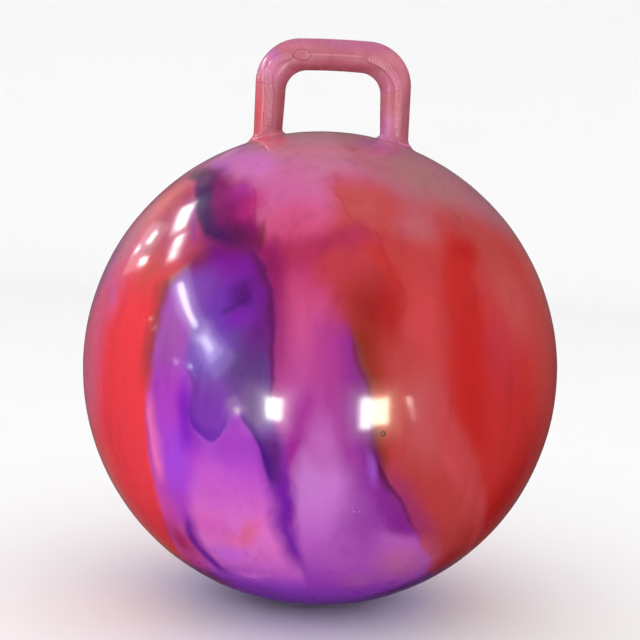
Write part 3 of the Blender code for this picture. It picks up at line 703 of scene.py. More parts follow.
    # one burst bubble in the skin, lower right of the middle, and a few pale specks
    def spot(azimuth, lat):
        a, p = math.radians(azimuth), math.radians(lat)
        away = Vector((math.cos(p) * math.sin(a), -math.cos(p) * math.cos(a), math.sin(p)))
        away.rotate(Matrix.Rotation(math.radians(2.0), 3, "X"))
        return g.vec("DISTANCE", m.flat, tuple(away * R))

    pit = spot(13.8, -3.5)
    ring = g.mul(g.fade(pit, 0.0029, 0.0021), g.fade(pit, 0.0008, 0.0015))
    colour = g.mix(g.mul(ring, 0.95), colour, srgb(38, 8, 14))
    for a, p, size in ((9.2, -21.7, 0.0011), (10.4, -21.7, 0.0009), (8.9, -20.8, 0.0006), (11.2, -21.0, 0.0006)):
        colour = g.mix(g.mul(g.fade(spot(a, p), size, size * 0.4), 0.6), colour, srgb(214, 160, 214))
    g.put(g.shader.inputs["Base Color"], colour)

    # the skin is glossy, a little duller where the pigment clouds, with the faint peel of a moulded surface
    peel = g.noise(m.flat, 420.0, 2.0, 0.5)
    smear = g.noise(m.flat, 26.0, 4.0, 0.6)
    g.put(g.shader.inputs["Roughness"], g.fade(smear, 0.35, 0.75, 0.26, 0.42))
    normal = g.bump(peel, 0.10, 0.0004)
    hole = g.mul(g.fade(pit, 0.0018, 0.0008), -1.0)
    g.put(g.shader.inputs["Normal"], g.bump(hole, 0.8, 0.0006, normal))
    return g.mat


# ---------------------------------------------------------------- ball skin
def flattened(p):
    """Presses the underside flat on the floor, with a rounded turn into the ball."""
    k = 0.0012
    z = p.z
    if z < 0.02:
        z = 0.5 * (z + math.sqrt(z * z + k * k)) if z > -0.02 else 0.0
        z -= 0.5 * k * smoothstep(0.006 - p.z, 0.0, 0.006)
    return Vector((p.x, p.y, max(z, 0.0)))


def ball_skin():
    """Rings about the valve's axis, out from the valve hole to the far pole, and back inside."""
    sides, rings = 224, 150
    hole = NECK + 0.0003
    start = math.asin(hole / R)
    basis = VALVE.to_3x3()
    rows = []
    for i in range(rings):
        # closer together by the hole
        t = i / (rings - 1)
        a = start + (math.pi - 0.006 - start) * (0.86 * t + 0.14 * t * t)
        rows.append((a, R))
    inner = [
        (start + (math.pi - 0.012 - start) * (1 - i / 47), R - SKIN) for i in range(48)
    ]
    verts, faces = [], []
    for a, radius in rows + inner:
        for k in range(sides):
            b = 2 * math.pi * k / sides
            d = basis @ Vector((math.sin(a) * math.cos(b), math.sin(a) * math.sin(b), math.cos(a)))
            wave = 0.0
            if radius == R:
                # the stretched skin isn't a perfect ball: long shallow waves
                wave = 0.00022 * noise.noise(d * 5.0) + 0.00012 * noise.noise(d * 11.0 + Vector((7, 3, 1)))
                wave *= smoothstep(a, start + 0.02, start + 0.12)
            p = CENTRE + d * (radius + wave)
            if radius == R:
                p = flattened(p)
            else:
                p.z = max(p.z, SKIN)
            verts.append(p)
    n_out = rings * sides
    total = len(rows) + len(inner)
    faces += grid_faces(rings, sides, False)
    off = n_out
    faces += [tuple(off + v for v in f) for f in grid_faces(len(inner), sides, False)]
    # far poles, and the rim of the valve hole
    verts.append(sum((verts[(rings - 1) * sides + k] for k in range(sides)), Vector()) / sides)
    pole = len(verts) - 1
    verts.append(sum((verts[off + k] for k in range(sides)), Vector()) / sides)
    pole_in = len(verts) - 1
    for k in range(sides):
        n = (k + 1) % sides
        faces.append(((rings - 1) * sides + k, (rings - 1) * sides + n, pole))
        faces.append((off + n, off + k, pole_in))
        last = (total - 1) * sides
        faces.append((last + k, last + n, n, k))
    return verts, faces


ball = piece("ball_skin", *ball_skin(), ball_material(), "ball", "ball_shell", "marbled_pvc")


# ---------------------------------------------------------------- handle
def leg_inner(z):
    top_x, top_z = CORNER_IN[0] + CORNER_IN[2], CORNER_IN[1]
    return LEG_IN_BASE + (top_x - LEG_IN_BASE) * (z - LEG_IN_BASE_Z) / (top_z - LEG_IN_BASE_Z)


def ball_height(x, y, radius=R):
    return math.sqrt(radius * radius - x * x - y * y)


def half_stations(step):
    """(outer point, inner point, half depth, distance from the grip's middle) down one half."""
    cox, coz, co = CORNER_OUT
    cix, ciz, ci = CORNER_IN
    out = []
    count = round((cox + cix) / 2 / step)
    for k in range(count):
        s = k / count
        rise = GRIP_ARCH * (1 - s * s)
        out.append(((cox * s, coz + co + rise), (cix * s, ciz + ci + rise), GRIP_DEPTH))
    count = round(math.pi / 2 * (co + ci) / 2 / step)
    for k in range(count):
        a = math.pi / 2 * (1 - k / count)
        depth = CORNER_DEPTH + (GRIP_DEPTH - CORNER_DEPTH) * math.cos(2 * a - math.pi / 2) ** 2
        out.append(
            (
                (cox + co * math.cos(a), coz + co * math.sin(a)),
                (cix + ci * math.cos(a), ciz + ci * math.sin(a)),
                depth,
            )
        )
    count = round((coz - LEG_LOW) / step)
    for k in range(count + 1):
        s = k / count
        zo = coz + (LEG_LOW - coz) * s
        zi = ciz + (LEG_LOW - ciz) * s
        out.append(((HALF_WIDTH, zo), (leg_inner(zi), zi), GRIP_DEPTH + (0.0140 - GRIP_DEPTH) * s))
    # distance along the middle line
    gone, last, full = 0.0, None, []
    for o, i, d in out:
        mid = Vector(((o[0] + i[0]) / 2, 0, (o[1] + i[1]) / 2))
        gone += (mid - last).length if last else 0.0
        last = mid
        full.append((o, i, d, gone))
    return full


def angles():
    """Angles round the tube, closer together on the front and back faces where the strips are."""
    out, n = [], 132
    for k in range(n):
        t = 2 * math.pi * k / n
        out.append(t + 0.18 * math.sin(2 * t))
    return out


STRIP_START = (0.0400, 0.0315)  # left and right, along the middle line from the grip's middle
STRIP_HALF = 0.0038
RIB_PITCH = 0.0028


def strip_middle(along, side, front):
    """How far the anti-slip strip sits off the tube's middle line, outwards."""
    if not front:
        return 0.0
    if side > 0:
        return -0.0022 + 0.0045 * smoothstep(along, 0.0400, 0.0850)
    return 0.0034 * smoothstep(along, 0.0400, 0.0560) - 0.0034 * smoothstep(along, 0.0600, 0.0880)


def relief(along, across, side, front):
    """What is moulded on the tube, as (height, painted light): a ribbed strip round each corner and down the leg,
    with a step where it starts, a faint line along the grip and one smooth oval pad at the left end of the grip. The
    painted light is colour standing in for light and shade: above 0 a painted highlight, below 0 painted shade in a
    crease."""
    first = STRIP_START[side > 0]
    rise = 0.00020 * smoothstep(along, first - 0.0004, first + 0.0002) * (1 - smoothstep(along, first + 0.003, first + 0.014))
    painted_light = 0.0
    off = across - strip_middle(along, side, front)
    end = first + STRIP_HALF - along
    edge = STRIP_HALF - (math.hypot(max(end, 0.0), off) if end > 0 else abs(off))
    if edge > -0.0016:
        body = smoothstep(edge, -0.0006, 0.0007)
        rib = 0.5 + 0.5 * math.cos(2 * math.pi * (along + 0.45 * off) / RIB_PITCH)
        inside = smoothstep(edge, 0.0002, 0.0014)
        rise += 0.00085 * body + 0.00040 * rib * inside
        # painted highlight on the strip and its ribs, painted shade in the crease along its edge
        painted_light += 0.30 * body + 0.55 * (rib - 0.4) * inside - 0.35 * math.exp(-(((edge + 0.0006) / 0.0006) ** 2))
    if front:
        # the line along the grip: a low ridge with a painted highlight on it
        line = math.exp(-(((across + 0.0012) / 0.0009) ** 2)) * (1 - smoothstep(along, 0.0225, 0.0300))
        rise += 0.00035 * line
        painted_light += 0.75 * line
    if side < 0 and front:
        # the oval pad and the groove round it, with painted shade in the groove
        u, v = (along - 0.0306) / 0.0082, (across + 0.0020) / 0.0056
        d = (math.hypot(u, v) - 1) * 0.0056
        if d < 0.0012:
            groove = math.exp(-((d / 0.00045) ** 2))
            rise += 0.00065 * smoothstep(-d, -0.0001, 0.0016) - 0.00040 * groove
            painted_light += 0.15 * smoothstep(-d, 0.0004, 0.0016) - 0.65 * groove
    return rise, painted_light


def root_fillet(t):
    return ROOT_FILLET + (ROOT_FLARE - ROOT_FILLET) * max(0.0, math.cos(t)) ** 2


def handle_loop():
    around = angles()
    sides = len(around)
    stations = half_stations(0.00050)

    def ring(station, side, inset=0.0, moulded=True):
        (ox, oz), (ix, iz), depth, along = station
        mid = Vector(((ox + ix) / 2, 0, (oz + iz) / 2))
        out = Vector(((ox - ix) / 2, 0, (oz - iz) / 2))
        half = out.length
        out.normalize()
        points = []
        for t in around:
            c, s = math.cos(t), math.sin(t)
            p = mid + out * (half - inset) * c + Vector((0, 1, 0)) * (depth - inset) * s
            if moulded:
                across = (half + depth) / 2 * math.asin(max(-1.0, min(1.0, c)))
                rise, painted_light = relief(along, across, side, s < 0)
                shown = smoothstep(abs(s), 0.35, 0.6)
                normal = (out * c / half + Vector((0, 1, 0)) * s / depth).normalized()
                points.append((p + normal * rise * shown, painted_light * shown))
            else:
                points.append((p, 0.0))
        return points

    def root(turn):
        """A level of the fillet: turn goes from 0, on the leg, to 90 degrees, on the ball. A thin weld bead runs round it."""
        b = math.radians(turn)
        bead = 0.00075 * math.exp(-(((turn - 47) / 8.0) ** 2))
        points = []
        for t in around:
            more = root_fillet(t) * (1 - math.cos(b))
            x = ROOT_MID + (ROOT_HALF + more) * math.cos(t)
            y = (LEG_DEPTH + more) * math.sin(t)
            # the bead is a little uneven, as a mould line is
            lump = bead * (0.75 + 0.5 * noise.noise(Vector((x * 260, y * 260, 3.0))))
            p = Vector((x, y, ball_height(x, y) + root_fillet(t) * (1 - math.sin(b))))
            out = Vector((math.cos(t) * math.cos(b), math.sin(t) * math.cos(b), math.sin(b)))
            # the bead carries painted highlight specks
            points.append((p + out * lump, 2600 * lump * (0.5 + 1.3 * noise.noise(Vector((x * 180, y * 180, 7.0))))))
        return points

    def foot(spread, lift):
        points = []
        for t in around:
            more = root_fillet(t) * spread
            x = ROOT_MID + (ROOT_HALF + more) * math.cos(t)
            y = (LEG_DEPTH + more) * math.sin(t)
            points.append((Vector((x, y, ball_height(x, y) + lift)), 0.0))
        return points

    def half(side):
        outer = [ring(s, side) for s in stations]
        top_of_root = root(0)
        # the leg runs on smoothly from its last level ring to the slanting top of the root
        last = outer[-1]
        plain = ring(stations[-1], side, 0.0, False)
        length = sum((p[0] - q[0]).length for p, q in zip(last, top_of_root)) / sides
        steps = max(6, round(length / 0.0005))
        for k in range(1, steps):
            s = k / steps
            along = stations[-1][3] + length * s
            row = []
            for t, q, p in zip(around, top_of_root, plain):
                m = p[0].lerp(q[0], s)
                across = (ROOT_HALF + LEG_DEPTH) / 2 * math.asin(max(-1.0, min(1.0, math.cos(t))))
                rise, painted_light = relief(along, across, side, math.sin(t) < 0)
                shown = smoothstep(abs(math.sin(t)), 0.35, 0.6) * (1 - smoothstep(s, 0.55, 1.0))
                row.append((m + Vector((math.cos(t), math.sin(t), 0)) * rise * shown, painted_light * shown))
            outer.append(row)
        outer += [root(88.0 * k / 24) for k in range(25)]
        outer.append(foot(1.0, -0.0004))
        under = [foot(0.6, -0.0009), foot(0.2, -0.0009)]
        # the bore is plain, so it needs fewer rings
        bore = []
        for t in around:
            x = ROOT_MID + (ROOT_HALF - WALL) * math.cos(t)
            y = (LEG_DEPTH - WALL) * math.sin(t)
            bore.append((Vector((x, y, ball_height(x, y) - 0.0009)), 0.0))
        inner = [bore] + [ring(s, side, WALL, False) for s in reversed(stations[::16])]
        return outer + under + inner

    right = half(1)
    left = [[(Vector((-p.x, p.y, p.z)), painted_light) for p, painted_light in row] for row in reversed(half(-1))]
    rows = right + left[1:-1]
    verts = [CENTRE + p for row in rows for p, painted_light in row]
    painted_lights = [painted_light for row in rows for p, painted_light in row]
    return verts, grid_faces(len(rows), sides, True), painted_lights


def handle_material():
    g = vinyl("handle_vinyl", 0.30, 0.4)
    here = g.new("ShaderNodeTexCoord").outputs["Object"]
    x, y, z = g.split(here)
    drift = g.noise(here, 22.0, 2.0, 0.5, colour=True)
    dx, dy, dz = g.split(drift)
    px = g.add(x, g.mul_add(dx, 0.012, -0.006))
    pz = g.add(z, g.mul_add(dz, 0.016, -0.008))

    def patch(cx, cz, a, b, turn=0.0, soft=0.7):
        """An oval of colour; its place and size are in millimetres, up from the ball's centre."""
        place = g.join(px, pz, 0.0)
        node = g.new("ShaderNodeMapping", vector_type="TEXTURE")
        g.put(node.inputs["Vector"], place)
        node.inputs["Location"].default_value = (cx / 1000, cz / 1000 + ZC, 0)
        node.inputs["Rotation"].default_value = (0, 0, math.radians(turn))
        node.inputs["Scale"].default_value = (a / 1000, b / 1000, 1)
        return g.fade(g.vec("LENGTH", node.outputs[0]), 1 + soft, 1 - soft)

    colour = g.mix(g.fade(dy, 0.35, 0.65), pigment(190, 102, 120), pigment(198, 114, 132))
    for mask, paint, strength in (
        # mauve along the top of the grip and darker along its underside: painted shade where the tube turns from the
        # light
        (patch(0, 309, 62, 6), (182, 98, 138), 0.8),
        (patch(0, 283, 46, 4), (168, 82, 94), 0.7),
        (patch(-70, 240, 6, 30), (222, 88, 100), 0.9),
        # darker inner face of the left leg: painted shade
        (patch(-48, 238, 6, 34), (170, 76, 88), 0.75),
        (patch(-62, 286, 11, 16, 40), (214, 116, 162), 0.85),
        (patch(-56, 296, 6, 9, 40), (184, 98, 172), 0.6),
        (patch(54, 232, 9, 16), (226, 130, 172), 0.85),
        # lilac along the right leg's inner edge: painted highlight
        (patch(49, 222, 4, 12), (206, 124, 192), 0.7),
        (patch(56, 254, 6, 10), (212, 98, 112), 0.6),
        (patch(52, 272, 9, 10), (206, 108, 146), 0.7),
        # darker outer face of the right leg: painted shade
        (patch(73, 250, 6, 42), (162, 84, 98), 0.8),
        # mauve on the top of the grip at the right: painted shade
        (patch(36, 306, 18, 6, -14), (178, 92, 134), 0.5),
        (patch(-62, 214, 26, 6), (210, 84, 114), 0.8),
        (patch(64, 212, 28, 6), (172, 66, 128), 0.8),
    ):
        colour = g.mix(g.mul(mask, strength), colour, pigment(*paint))
    streak = g.noise(g.vec("MULTIPLY", here, (1.0, 1.0, 0.4)), 90.0, 3.0, 0.55)
    colour = g.mix(g.fade(streak, 0.50, 0.78, 0.0, 0.16), colour, pigment(150, 56, 86))
    colour = g.mix(g.fade(streak, 0.48, 0.24, 0.0, 0.14), colour, pigment(226, 160, 180))
    # painted highlights on the ribs, the strip, the grip line and the weld bead, and painted shade in the creases
    painted_light = g.new("ShaderNodeAttribute", attribute_name="painted_light").outputs["Fac"]
    colour = g.mix(g.fade(painted_light, 0.0, 1.0, 0.0, 0.55), colour, pigment(232, 162, 172))
    colour = g.mix(g.fade(painted_light, 0.0, -1.0, 0.0, 0.6), colour, pigment(122, 48, 66))
    g.put(g.shader.inputs["Base Color"], colour)
    smear = g.noise(here, 60.0, 4.0, 0.6)
    g.put(g.shader.inputs["Roughness"], g.fade(smear, 0.35, 0.7, 0.24, 0.38))
    peel = g.noise(here, 900.0, 2.0, 0.5)
    g.put(g.shader.inputs["Normal"], g.bump(peel, 0.12, 0.0003))
    return g.mat


loop_verts, loop_faces, loop_painted_light = handle_loop()
handle = piece("handle_loop", loop_verts, loop_faces, handle_material(), "ball", "handle", "handle_pvc")
handle.data.attributes.new("painted_light", "FLOAT", "POINT").data.foreach_set("value", loop_painted_light)


# ---------------------------------------------------------------- valve
def turned(profile, sides, closed):
    """Spins (radius, height) points about the valve's axis. Open profiles start and end on the axis."""
    verts, faces = [], []
    poles = [] if closed else [profile[0], profile[-1]]
    body = profile if closed else profile[1:-1]
    for r, h in body:
        for k in range(sides):
            a = 2 * math.pi * k / sides
            verts.append(VALVE @ Vector((r * math.cos(a), r * math.sin(a), h)))
    faces = grid_faces(len(body), sides, closed)
    for end, (r, h) in zip((0, (len(body) - 1) * sides), poles):
        verts.append(VALVE @ Vector((0, 0, h)))
        tip = len(verts) - 1
        for k in range(sides):
            n = (k + 1) % sides
            faces.append((end + k, end + n, tip))
    return verts, faces


def rounded(points, radius, steps=5):
    """Rounds the corners of a profile. points is [(r, h, share of radius)]."""
    out = []
    n = len(points)
    for i, (r, h, share) in enumerate(points):
        if not share:
            out.append((r, h))
            continue
        p = Vector((r, h))
        a = Vector(points[i - 1][:2]) - p
        b = Vector(points[(i + 1) % n][:2]) - p
        cut = min(radius * share, a.length * 0.45, b.length * 0.45)
        start, end = p + a.normalized() * cut, p + b.normalized() * cut
        for k in range(steps + 1):
            t = k / steps
            q = start.lerp(p, t).lerp(p.lerp(end, t), t)
            out.append((q.x, q.y))
    return out


def sag(r):
    return R - math.sqrt(R * R - r * r)


def valve_collar():
    rim = 0.0125
    points = [
        (0.0074, 0.0019, 0.6),
        (0.0100, 0.0019, 1.0),
        (0.0112, 0.0013, 1.0),
        (rim, 0.0004 - sag(rim), 0.5),
        (rim, -0.0001 - sag(rim), 0.0),
        (NECK, -0.0001 - sag(NECK), 0.0),
        (NECK, -NECK_LENGTH, 0.8),
        (BORE + 0.0002, -NECK_LENGTH, 0.4),
        (BORE, -NECK_LENGTH + 0.0006, 0.4),
        (BORE, 0.0004, 0.6),
        (BORE + 0.0005, 0.0008, 0.6),
        (0.0072, 0.0008, 0.6),
    ]
    return turned(rounded(points, 0.0009), 96, True)


def valve_stopper():
    under = 0.0011
    head, shank, barb = 0.0069, 0.0036, 0.00384
    points = [
        (0.0, 0.00275, 0.0),
        (0.0030, 0.00275, 0.6),  # shallow dish in the head
        (0.0040, 0.0031, 0.8),
        (head * 0.86, 0.0030, 1.0),
        (head, 0.0024, 0.8),
        (head, under + 0.0004, 0.6),
        (head * 0.93, under, 0.4),
        (shank + 0.0006, under, 0.8),
        (shank, under - 0.0008, 0.6),
    ]
    for k in range(3):
        z = -0.0040 - 0.0040 * k
        points += [(shank, z + 0.0004, 0.2), (barb, z, 0.5), (shank - 0.0001, z - 0.0012, 0.4)]
    points += [(shank - 0.0002, -0.0152, 0.8), (shank * 0.62, -0.0166, 0.9), (0.0, -0.0170, 0.0)]
    return turned(rounded(points, 0.0007, 4), 96, False)


def plain_vinyl(name, base, other, roughness, grain):
    g = vinyl(name, roughness)
    here = g.new("ShaderNodeTexCoord").outputs["Object"]
    cloud = g.noise(here, 140.0, 4.0, 0.6)
    colour = g.mix(g.fade(cloud, 0.35, 0.68), srgb(*base), srgb(*other))
    fleck = g.noise(here, 900.0, 2.0, 0.5)
    colour = g.mix(g.fade(fleck, 0.62, 0.75, 0.0, 0.25), colour, srgb(*(int(c * 0.7) for c in base)))
    g.put(g.shader.inputs["Base Color"], colour)
    g.put(g.shader.inputs["Roughness"], g.fade(cloud, 0.35, 0.7, roughness - 0.06, roughness + 0.10))
    g.put(g.shader.inputs["Normal"], g.bump(g.noise(here, grain, 3.0, 0.5), 0.15, 0.0002))
    return g.mat


collar = piece(
    "valve_collar",
    *valve_collar(),
    plain_vinyl("collar_vinyl", (186, 70, 104), (204, 92, 126), 0.34, 1600.0),
    "ball",
    "valve_seat",
    "seat_pvc",
)
stopper = piece(
    "valve_stopper",
    *valve_stopper(),
    plain_vinyl("stopper_vinyl", (232, 230, 224), (220, 216, 208), 0.38, 1800.0),
    "plug",
    "valve_plug",
    "plug_pvc",
)


# ---------------------------------------------------------------- camera
ELEVATION = math.radians(8.0)
DISTANCE = 1.35
ROLL = math.radians(2.7)
FOCAL_PX = 237.0 * math.sqrt(DISTANCE**2 - R * R) / R
PITCH = math.atan(47.15 / FOCAL_PX)

eye = CENTRE + Vector((0, -math.cos(ELEVATION), math.sin(ELEVATION))) * DISTANCE
ahead = (CENTRE - eye).normalized()
level = Vector((1, 0, 0))
upright = level.cross(ahead)
right = level * math.cos(ROLL) + upright * math.sin(ROLL)
up = upright * math.cos(ROLL) - level * math.sin(ROLL)
aim = ahead * math.cos(PITCH) + up * math.sin(PITCH)
up = up * math.cos(PITCH) - ahead * math.sin(PITCH)
camera = bpy.data.objects.new("camera", bpy.data.cameras.new("camera"))
camera.data.sensor_width = 36.0
camera.data.lens = 36.0 * FOCAL_PX / 640.0
camera.matrix_world = Matrix(
    (
        (right.x, up.x, -aim.x, eye.x),
        (right.y, up.y, -aim.y, eye.y),
        (right.z, up.z, -aim.z, eye.z),
        (0, 0, 0, 1),
    )
)
scene.collection.objects.link(camera)
scene.camera = camera


# ---------------------------------------------------------------- floor and light
def backdrop():
    """A round studio cove: a flat floor that turns up into a low wall all round."""
    sides = 128
    profile = [(0.0, 0.0), (0.8, 0.0), (1.8, 0.0), (3.2, 0.0)]
    for k in range(1, 13):
        a = math.pi / 2 * k / 12
        profile.append((3.2 + 1.2 * math.sin(a), 1.2 - 1.2 * math.cos(a)))
    profile.append((4.4, 2.6))
    verts, faces = [(0, 0, 0)], []
    for r, z in profile[1:]:
        for k in range(sides):
            a = 2 * math.pi * k / sides
            verts.append((r * math.cos(a), r * math.sin(a), z))
    for k in range(sides):
        faces.append((0, 1 + k, 1 + (k + 1) % sides))
    for i in range(len(profile) - 2):
        for k in range(sides):
            n = (k + 1) % sides
            a, b = 1 + i * sides, 1 + (i + 1) * sides
            faces.append((a + k, b + k, b + n, a + n))
    mesh = bpy.data.meshes.new("floor")
    mesh.from_pydata(verts, [], faces)
    mesh.shade_smooth()
    g = Graph("floor_paint")
    here = g.new("ShaderNodeTexCoord").outputs["Object"]
    g.put(
        g.shader.inputs["Base Color"],
        g.mix(g.noise(here, 1.5, 3.0), (0.89, 0.89, 0.89, 1), (0.91, 0.91, 0.91, 1)),
    )
    g.shader.inputs["Roughness"].default_value = 0.7
    g.shader.inputs["Specular IOR Level"].default_value = 0.2
    mesh.materials.append(g.mat)
    obj = bpy.data.objects.new("floor", mesh)
    scene.collection.objects.link(obj)
    return obj


floor = backdrop()
floor.visible_glossy = False


def lamp(name, matrix, size, power, glossy, diffuse, colour=(1, 1, 1)):
    data = bpy.data.lights.new(name, "AREA")
    data.shape = "RECTANGLE"
    data.size, data.size_y = size
    data.energy = power
    data.color = colour
    obj = bpy.data.objects.new(name, data)
    obj.matrix_world = matrix
    obj.visible_glossy = glossy
    obj.visible_diffuse = diffuse
    obj.visible_camera = False
    scene.collection.objects.link(obj)
    return obj


def facing(place, target, up_hint):
    """The matrix of a lamp at a place that shines on a target."""
    place = Vector(place)
    back = (place - Vector(target)).normalized()
    across = Vector(up_hint).cross(back).normalized()
    rise = back.cross(across)
    return Matrix(
        (
            (across.x, rise.x, back.x, place.x),
            (across.y, rise.y, back.y, place.y),
            (across.z, rise.z, back.z, place.z),
            (0, 0, 0, 1),
        )
    )


def softbox(name, place, size, power):
    return lamp(name, facing(place, CENTRE, (0.0, 0.02, 1.0)), (size, size), power, False, True)


# even white light all round; what mirrors in the gloss is a dim room, lighter overhead
world = bpy.data.worlds.new("studio")
scene.world = world
world.use_nodes = True
tree = world.node_tree
back_node = tree.nodes["Background"]
coords = tree.nodes.new("ShaderNodeTexCoord")
parts = tree.nodes.new("ShaderNodeSeparateXYZ")
half = tree.nodes.new("ShaderNodeMath")
half.operation = "MULTIPLY_ADD"
half.inputs[1].default_value, half.inputs[2].default_value = 0.5, 0.5
shade = tree.nodes.new("ShaderNodeValToRGB")
ramp = shade.color_ramp
ramp.elements[0].position, ramp.elements[0].color = 0.40, (0.02, 0.018, 0.02, 1)
ramp.elements[1].position, ramp.elements[1].color = 0.95, (0.16, 0.155, 0.16, 1)
middle = ramp.elements.new(0.55)
middle.color = (0.05, 0.047, 0.05, 1)
# the pale studio behind the ball shows in its rim, most of all a little below the middle
far = tree.nodes.new("ShaderNodeMapRange")
far.interpolation_type = "SMOOTHSTEP"
far.inputs["From Min"].default_value, far.inputs["From Max"].default_value = 0.5, 0.9
level_ramp = tree.nodes.new("ShaderNodeValToRGB")
for place, value in ((0.20, 0.0), (0.32, 0.75), (0.44, 0.45), (0.72, 0.6)):
    stop = level_ramp.color_ramp.elements.new(place)
    stop.color = (value, value, value, 1)
level_ramp.color_ramp.elements[0].color = (0, 0, 0, 1)
level_ramp.color_ramp.elements[-1].color = (0.4, 0.4, 0.4, 1)
rim = tree.nodes.new("ShaderNodeMath")
rim.operation = "MULTIPLY"
# and less of it low on the right
aside = tree.nodes.new("ShaderNodeMath")
aside.operation = "MULTIPLY_ADD"
aside.inputs[1].default_value = -1.2
less = tree.nodes.new("ShaderNodeMapRange")
less.interpolation_type = "SMOOTHSTEP"
less.inputs["From Min"].default_value, less.inputs["From Max"].default_value = 0.1, 0.6
less.inputs["To Min"].default_value, less.inputs["To Max"].default_value = 1.0, 0.4
dimmed = tree.nodes.new("ShaderNodeMath")
dimmed.operation = "MULTIPLY"
pale = tree.nodes.new("ShaderNodeMix")
pale.data_type = "RGBA"
pale.inputs[7].default_value = (0.24, 0.235, 0.23, 1)
path = tree.nodes.new("ShaderNodeLightPath")
choose = tree.nodes.new("ShaderNodeMix")
choose.data_type = "RGBA"
choose.inputs[6].default_value = (1.2, 1.2, 1.2, 1)
tree.links.new(coords.outputs["Generated"], parts.inputs[0])
tree.links.new(parts.outputs[2], half.inputs[0])
tree.links.new(half.outputs[0], shade.inputs[0])
tree.links.new(path.outputs["Is Glossy Ray"], choose.inputs[0])
tree.links.new(parts.outputs[1], far.inputs["Value"])
tree.links.new(half.outputs[0], level_ramp.inputs[0])
tree.links.new(far.outputs[0], rim.inputs[0])
tree.links.new(level_ramp.outputs[0], rim.inputs[1])
tree.links.new(parts.outputs[2], aside.inputs[0])
tree.links.new(parts.outputs[0], aside.inputs[2])
tree.links.new(aside.outputs[0], less.inputs["Value"])
tree.links.new(rim.outputs[0], dimmed.inputs[0])
tree.links.new(less.outputs[0], dimmed.inputs[1])
tree.links.new(dimmed.outputs[0], pale.inputs[0])
tree.links.new(shade.outputs[0], pale.inputs[6])
tree.links.new(pale.outputs[2], choose.inputs[7])
tree.links.new(choose.outputs[2], back_node.inputs["Color"])
back_node.inputs["Strength"].default_value = 1.0

softbox("key", (-1.2, -2.2, 1.6), 1.4, 4)
softbox("fill", (1.5, -2.2, 0.7), 1.4, 3)
softbox("overhead", (0.0, 0.2, 2.5), 2.0, 1)


def reflected(px, py):
    """Where light must come from to shine in the ball at a place in the frame: (point on the ball, direction)."""
    ray = (aim + right * ((px - 320) / FOCAL_PX) + up * ((320 - py) / FOCAL_PX)).normalized()
    gap = eye - CENTRE
    b = ray.dot(gap)
    c = gap.dot(gap) - R * R
    t = -b - math.sqrt(max(b * b - c, 0.0))
    at = eye + ray * t
    n = (at - CENTRE).normalized()
    return at, (ray - n * 2 * ray.dot(n)).normalized()


def window(name, start, end, wide, shine, reach=1.0, colour=(1, 1, 1)):
    """A pane whose reflection in the ball runs from start to end, so wide across. It lights no other surface."""
    (ax, ay), (bx, by) = start, end
    mx, my = (ax + bx) / 2, (ay + by) / 2
    run = math.hypot(bx - ax, by - ay)
    sx, sy = (by - ay) / run * wide / 2, -(bx - ax) / run * wide / 2
    at, way = reflected(mx, my)
    middle = at + way * reach

    def card(x, y):
        """Where the light seen at this place comes through the pane."""
        start, out = reflected(x, y)
        return start + out * ((middle - start).dot(way) / out.dot(way))

    rise = card(bx, by) - card(ax, ay)
    turn = facing(middle, at, rise.normalized())
    across = turn.col[0].to_3d()
    width = abs((card(mx + sx, my + sy) - card(mx - sx, my - sy)).dot(across))
    length = rise.length
    return lamp(name, turn, (width, length), shine * math.pi * width * length, True, False, colour)


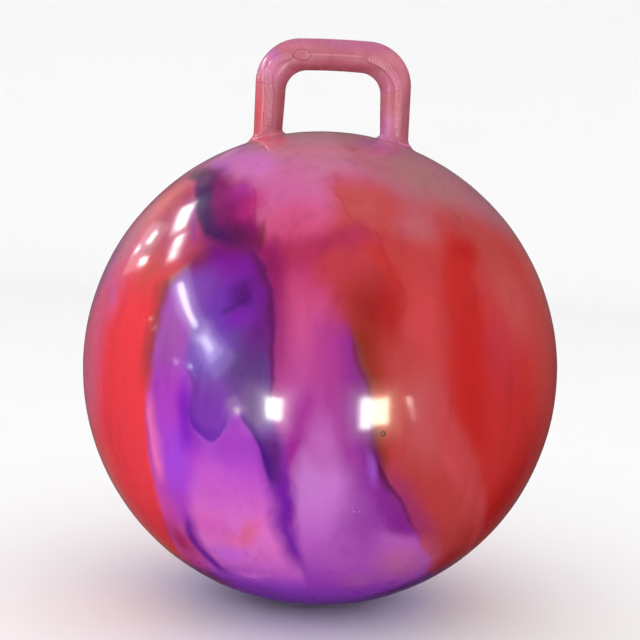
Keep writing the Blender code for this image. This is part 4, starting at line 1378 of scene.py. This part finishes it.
COOL, WARM = (0.93, 0.95, 1.0), (1.0, 0.95, 0.66)
window("pane_left", (275.5, 399), (274.5, 419), 15, 36, 0.9, (1.0, 1.0, 0.97))
window("pane_left_halo", (275, 394.5), (274, 424.5), 25, 3.4, 0.9, (1.0, 0.98, 0.9))
window("pane_left_haze", (274.5, 389), (273, 431), 38, 1.5, 0.9, (1.0, 0.98, 0.9))
window("pane_left_veil", (273, 381), (270, 439), 60, 0.7, 0.9, (1.0, 0.98, 0.9))
window("pane_right_a", (365, 399), (365.4, 429), 11, 36, 0.9, COOL)
window("pane_right_b", (379.8, 399.5), (380.6, 425), 17.4, 34, 0.9, WARM)
window("pane_right_halo", (374.5, 394.5), (375.5, 432), 38, 2.8, 0.9, WARM)
window("pane_right_haze", (374, 388), (375, 439), 52, 1.3, 0.9, WARM)
window("pane_right_veil", (373, 380), (374, 447), 74, 0.6, 0.9, WARM)
window("pane_far_right", (409.4, 398), (411.2, 407), 2.0, 40, 0.9, (1.0, 0.95, 0.85))
window("pane_far_right_low", (411, 407), (414.5, 421), 1.3, 16, 0.9, (1.0, 0.95, 0.85))
window("pane_small", (235, 409), (238, 413), 3, 26, 0.9, WARM)
window("pane_small_haze", (229, 400), (241, 416), 12, 3.0, 0.9, WARM)
window("streak", (178.5, 283), (194, 326), 5, 30, 1.0, COOL)
window("streak_glow", (175, 272), (199, 338), 22, 2.8, 1.0, COOL)
window("streak_end", (201, 337), (211, 352), 6.5, 14, 1.0, COOL)
window("streak_end_mid", (199, 332), (216, 358), 16, 5, 1.0, COOL)
window("streak_end_glow", (196, 326), (224, 370), 30, 1.8, 1.0, COOL)
window("upper_a", (187.5, 207), (178.5, 227), 6.5, 30, 1.0, COOL)
window("upper_a_glow", (189, 203), (176, 231), 12, 5, 1.0, COOL)
window("upper_b", (180, 235), (176, 248), 6, 22, 1.0, COOL)
window("upper_c", (175, 250), (172.5, 259), 5.5, 22, 1.0, COOL)
window("upper_b_glow", (181, 232), (171, 263), 12, 4, 1.0, COOL)
window("upper_d", (144.5, 257.5), (141, 265), 5, 26)
window("upper_e", (156.5, 231), (148, 243), 3.2, 16)
window("upper_f", (141, 246), (135, 252.5), 2.2, 13)
window("upper_rim_glow", (160, 222), (130, 272), 16, 1.3)
for k, (x, y) in enumerate(((151, 318), (155, 328), (175.5, 362), (188.5, 365.5))):
    window(f"lamp_{k}", (x, y - 1.0), (x, y + 1.0), 2.0, 18 if k < 2 else 45)
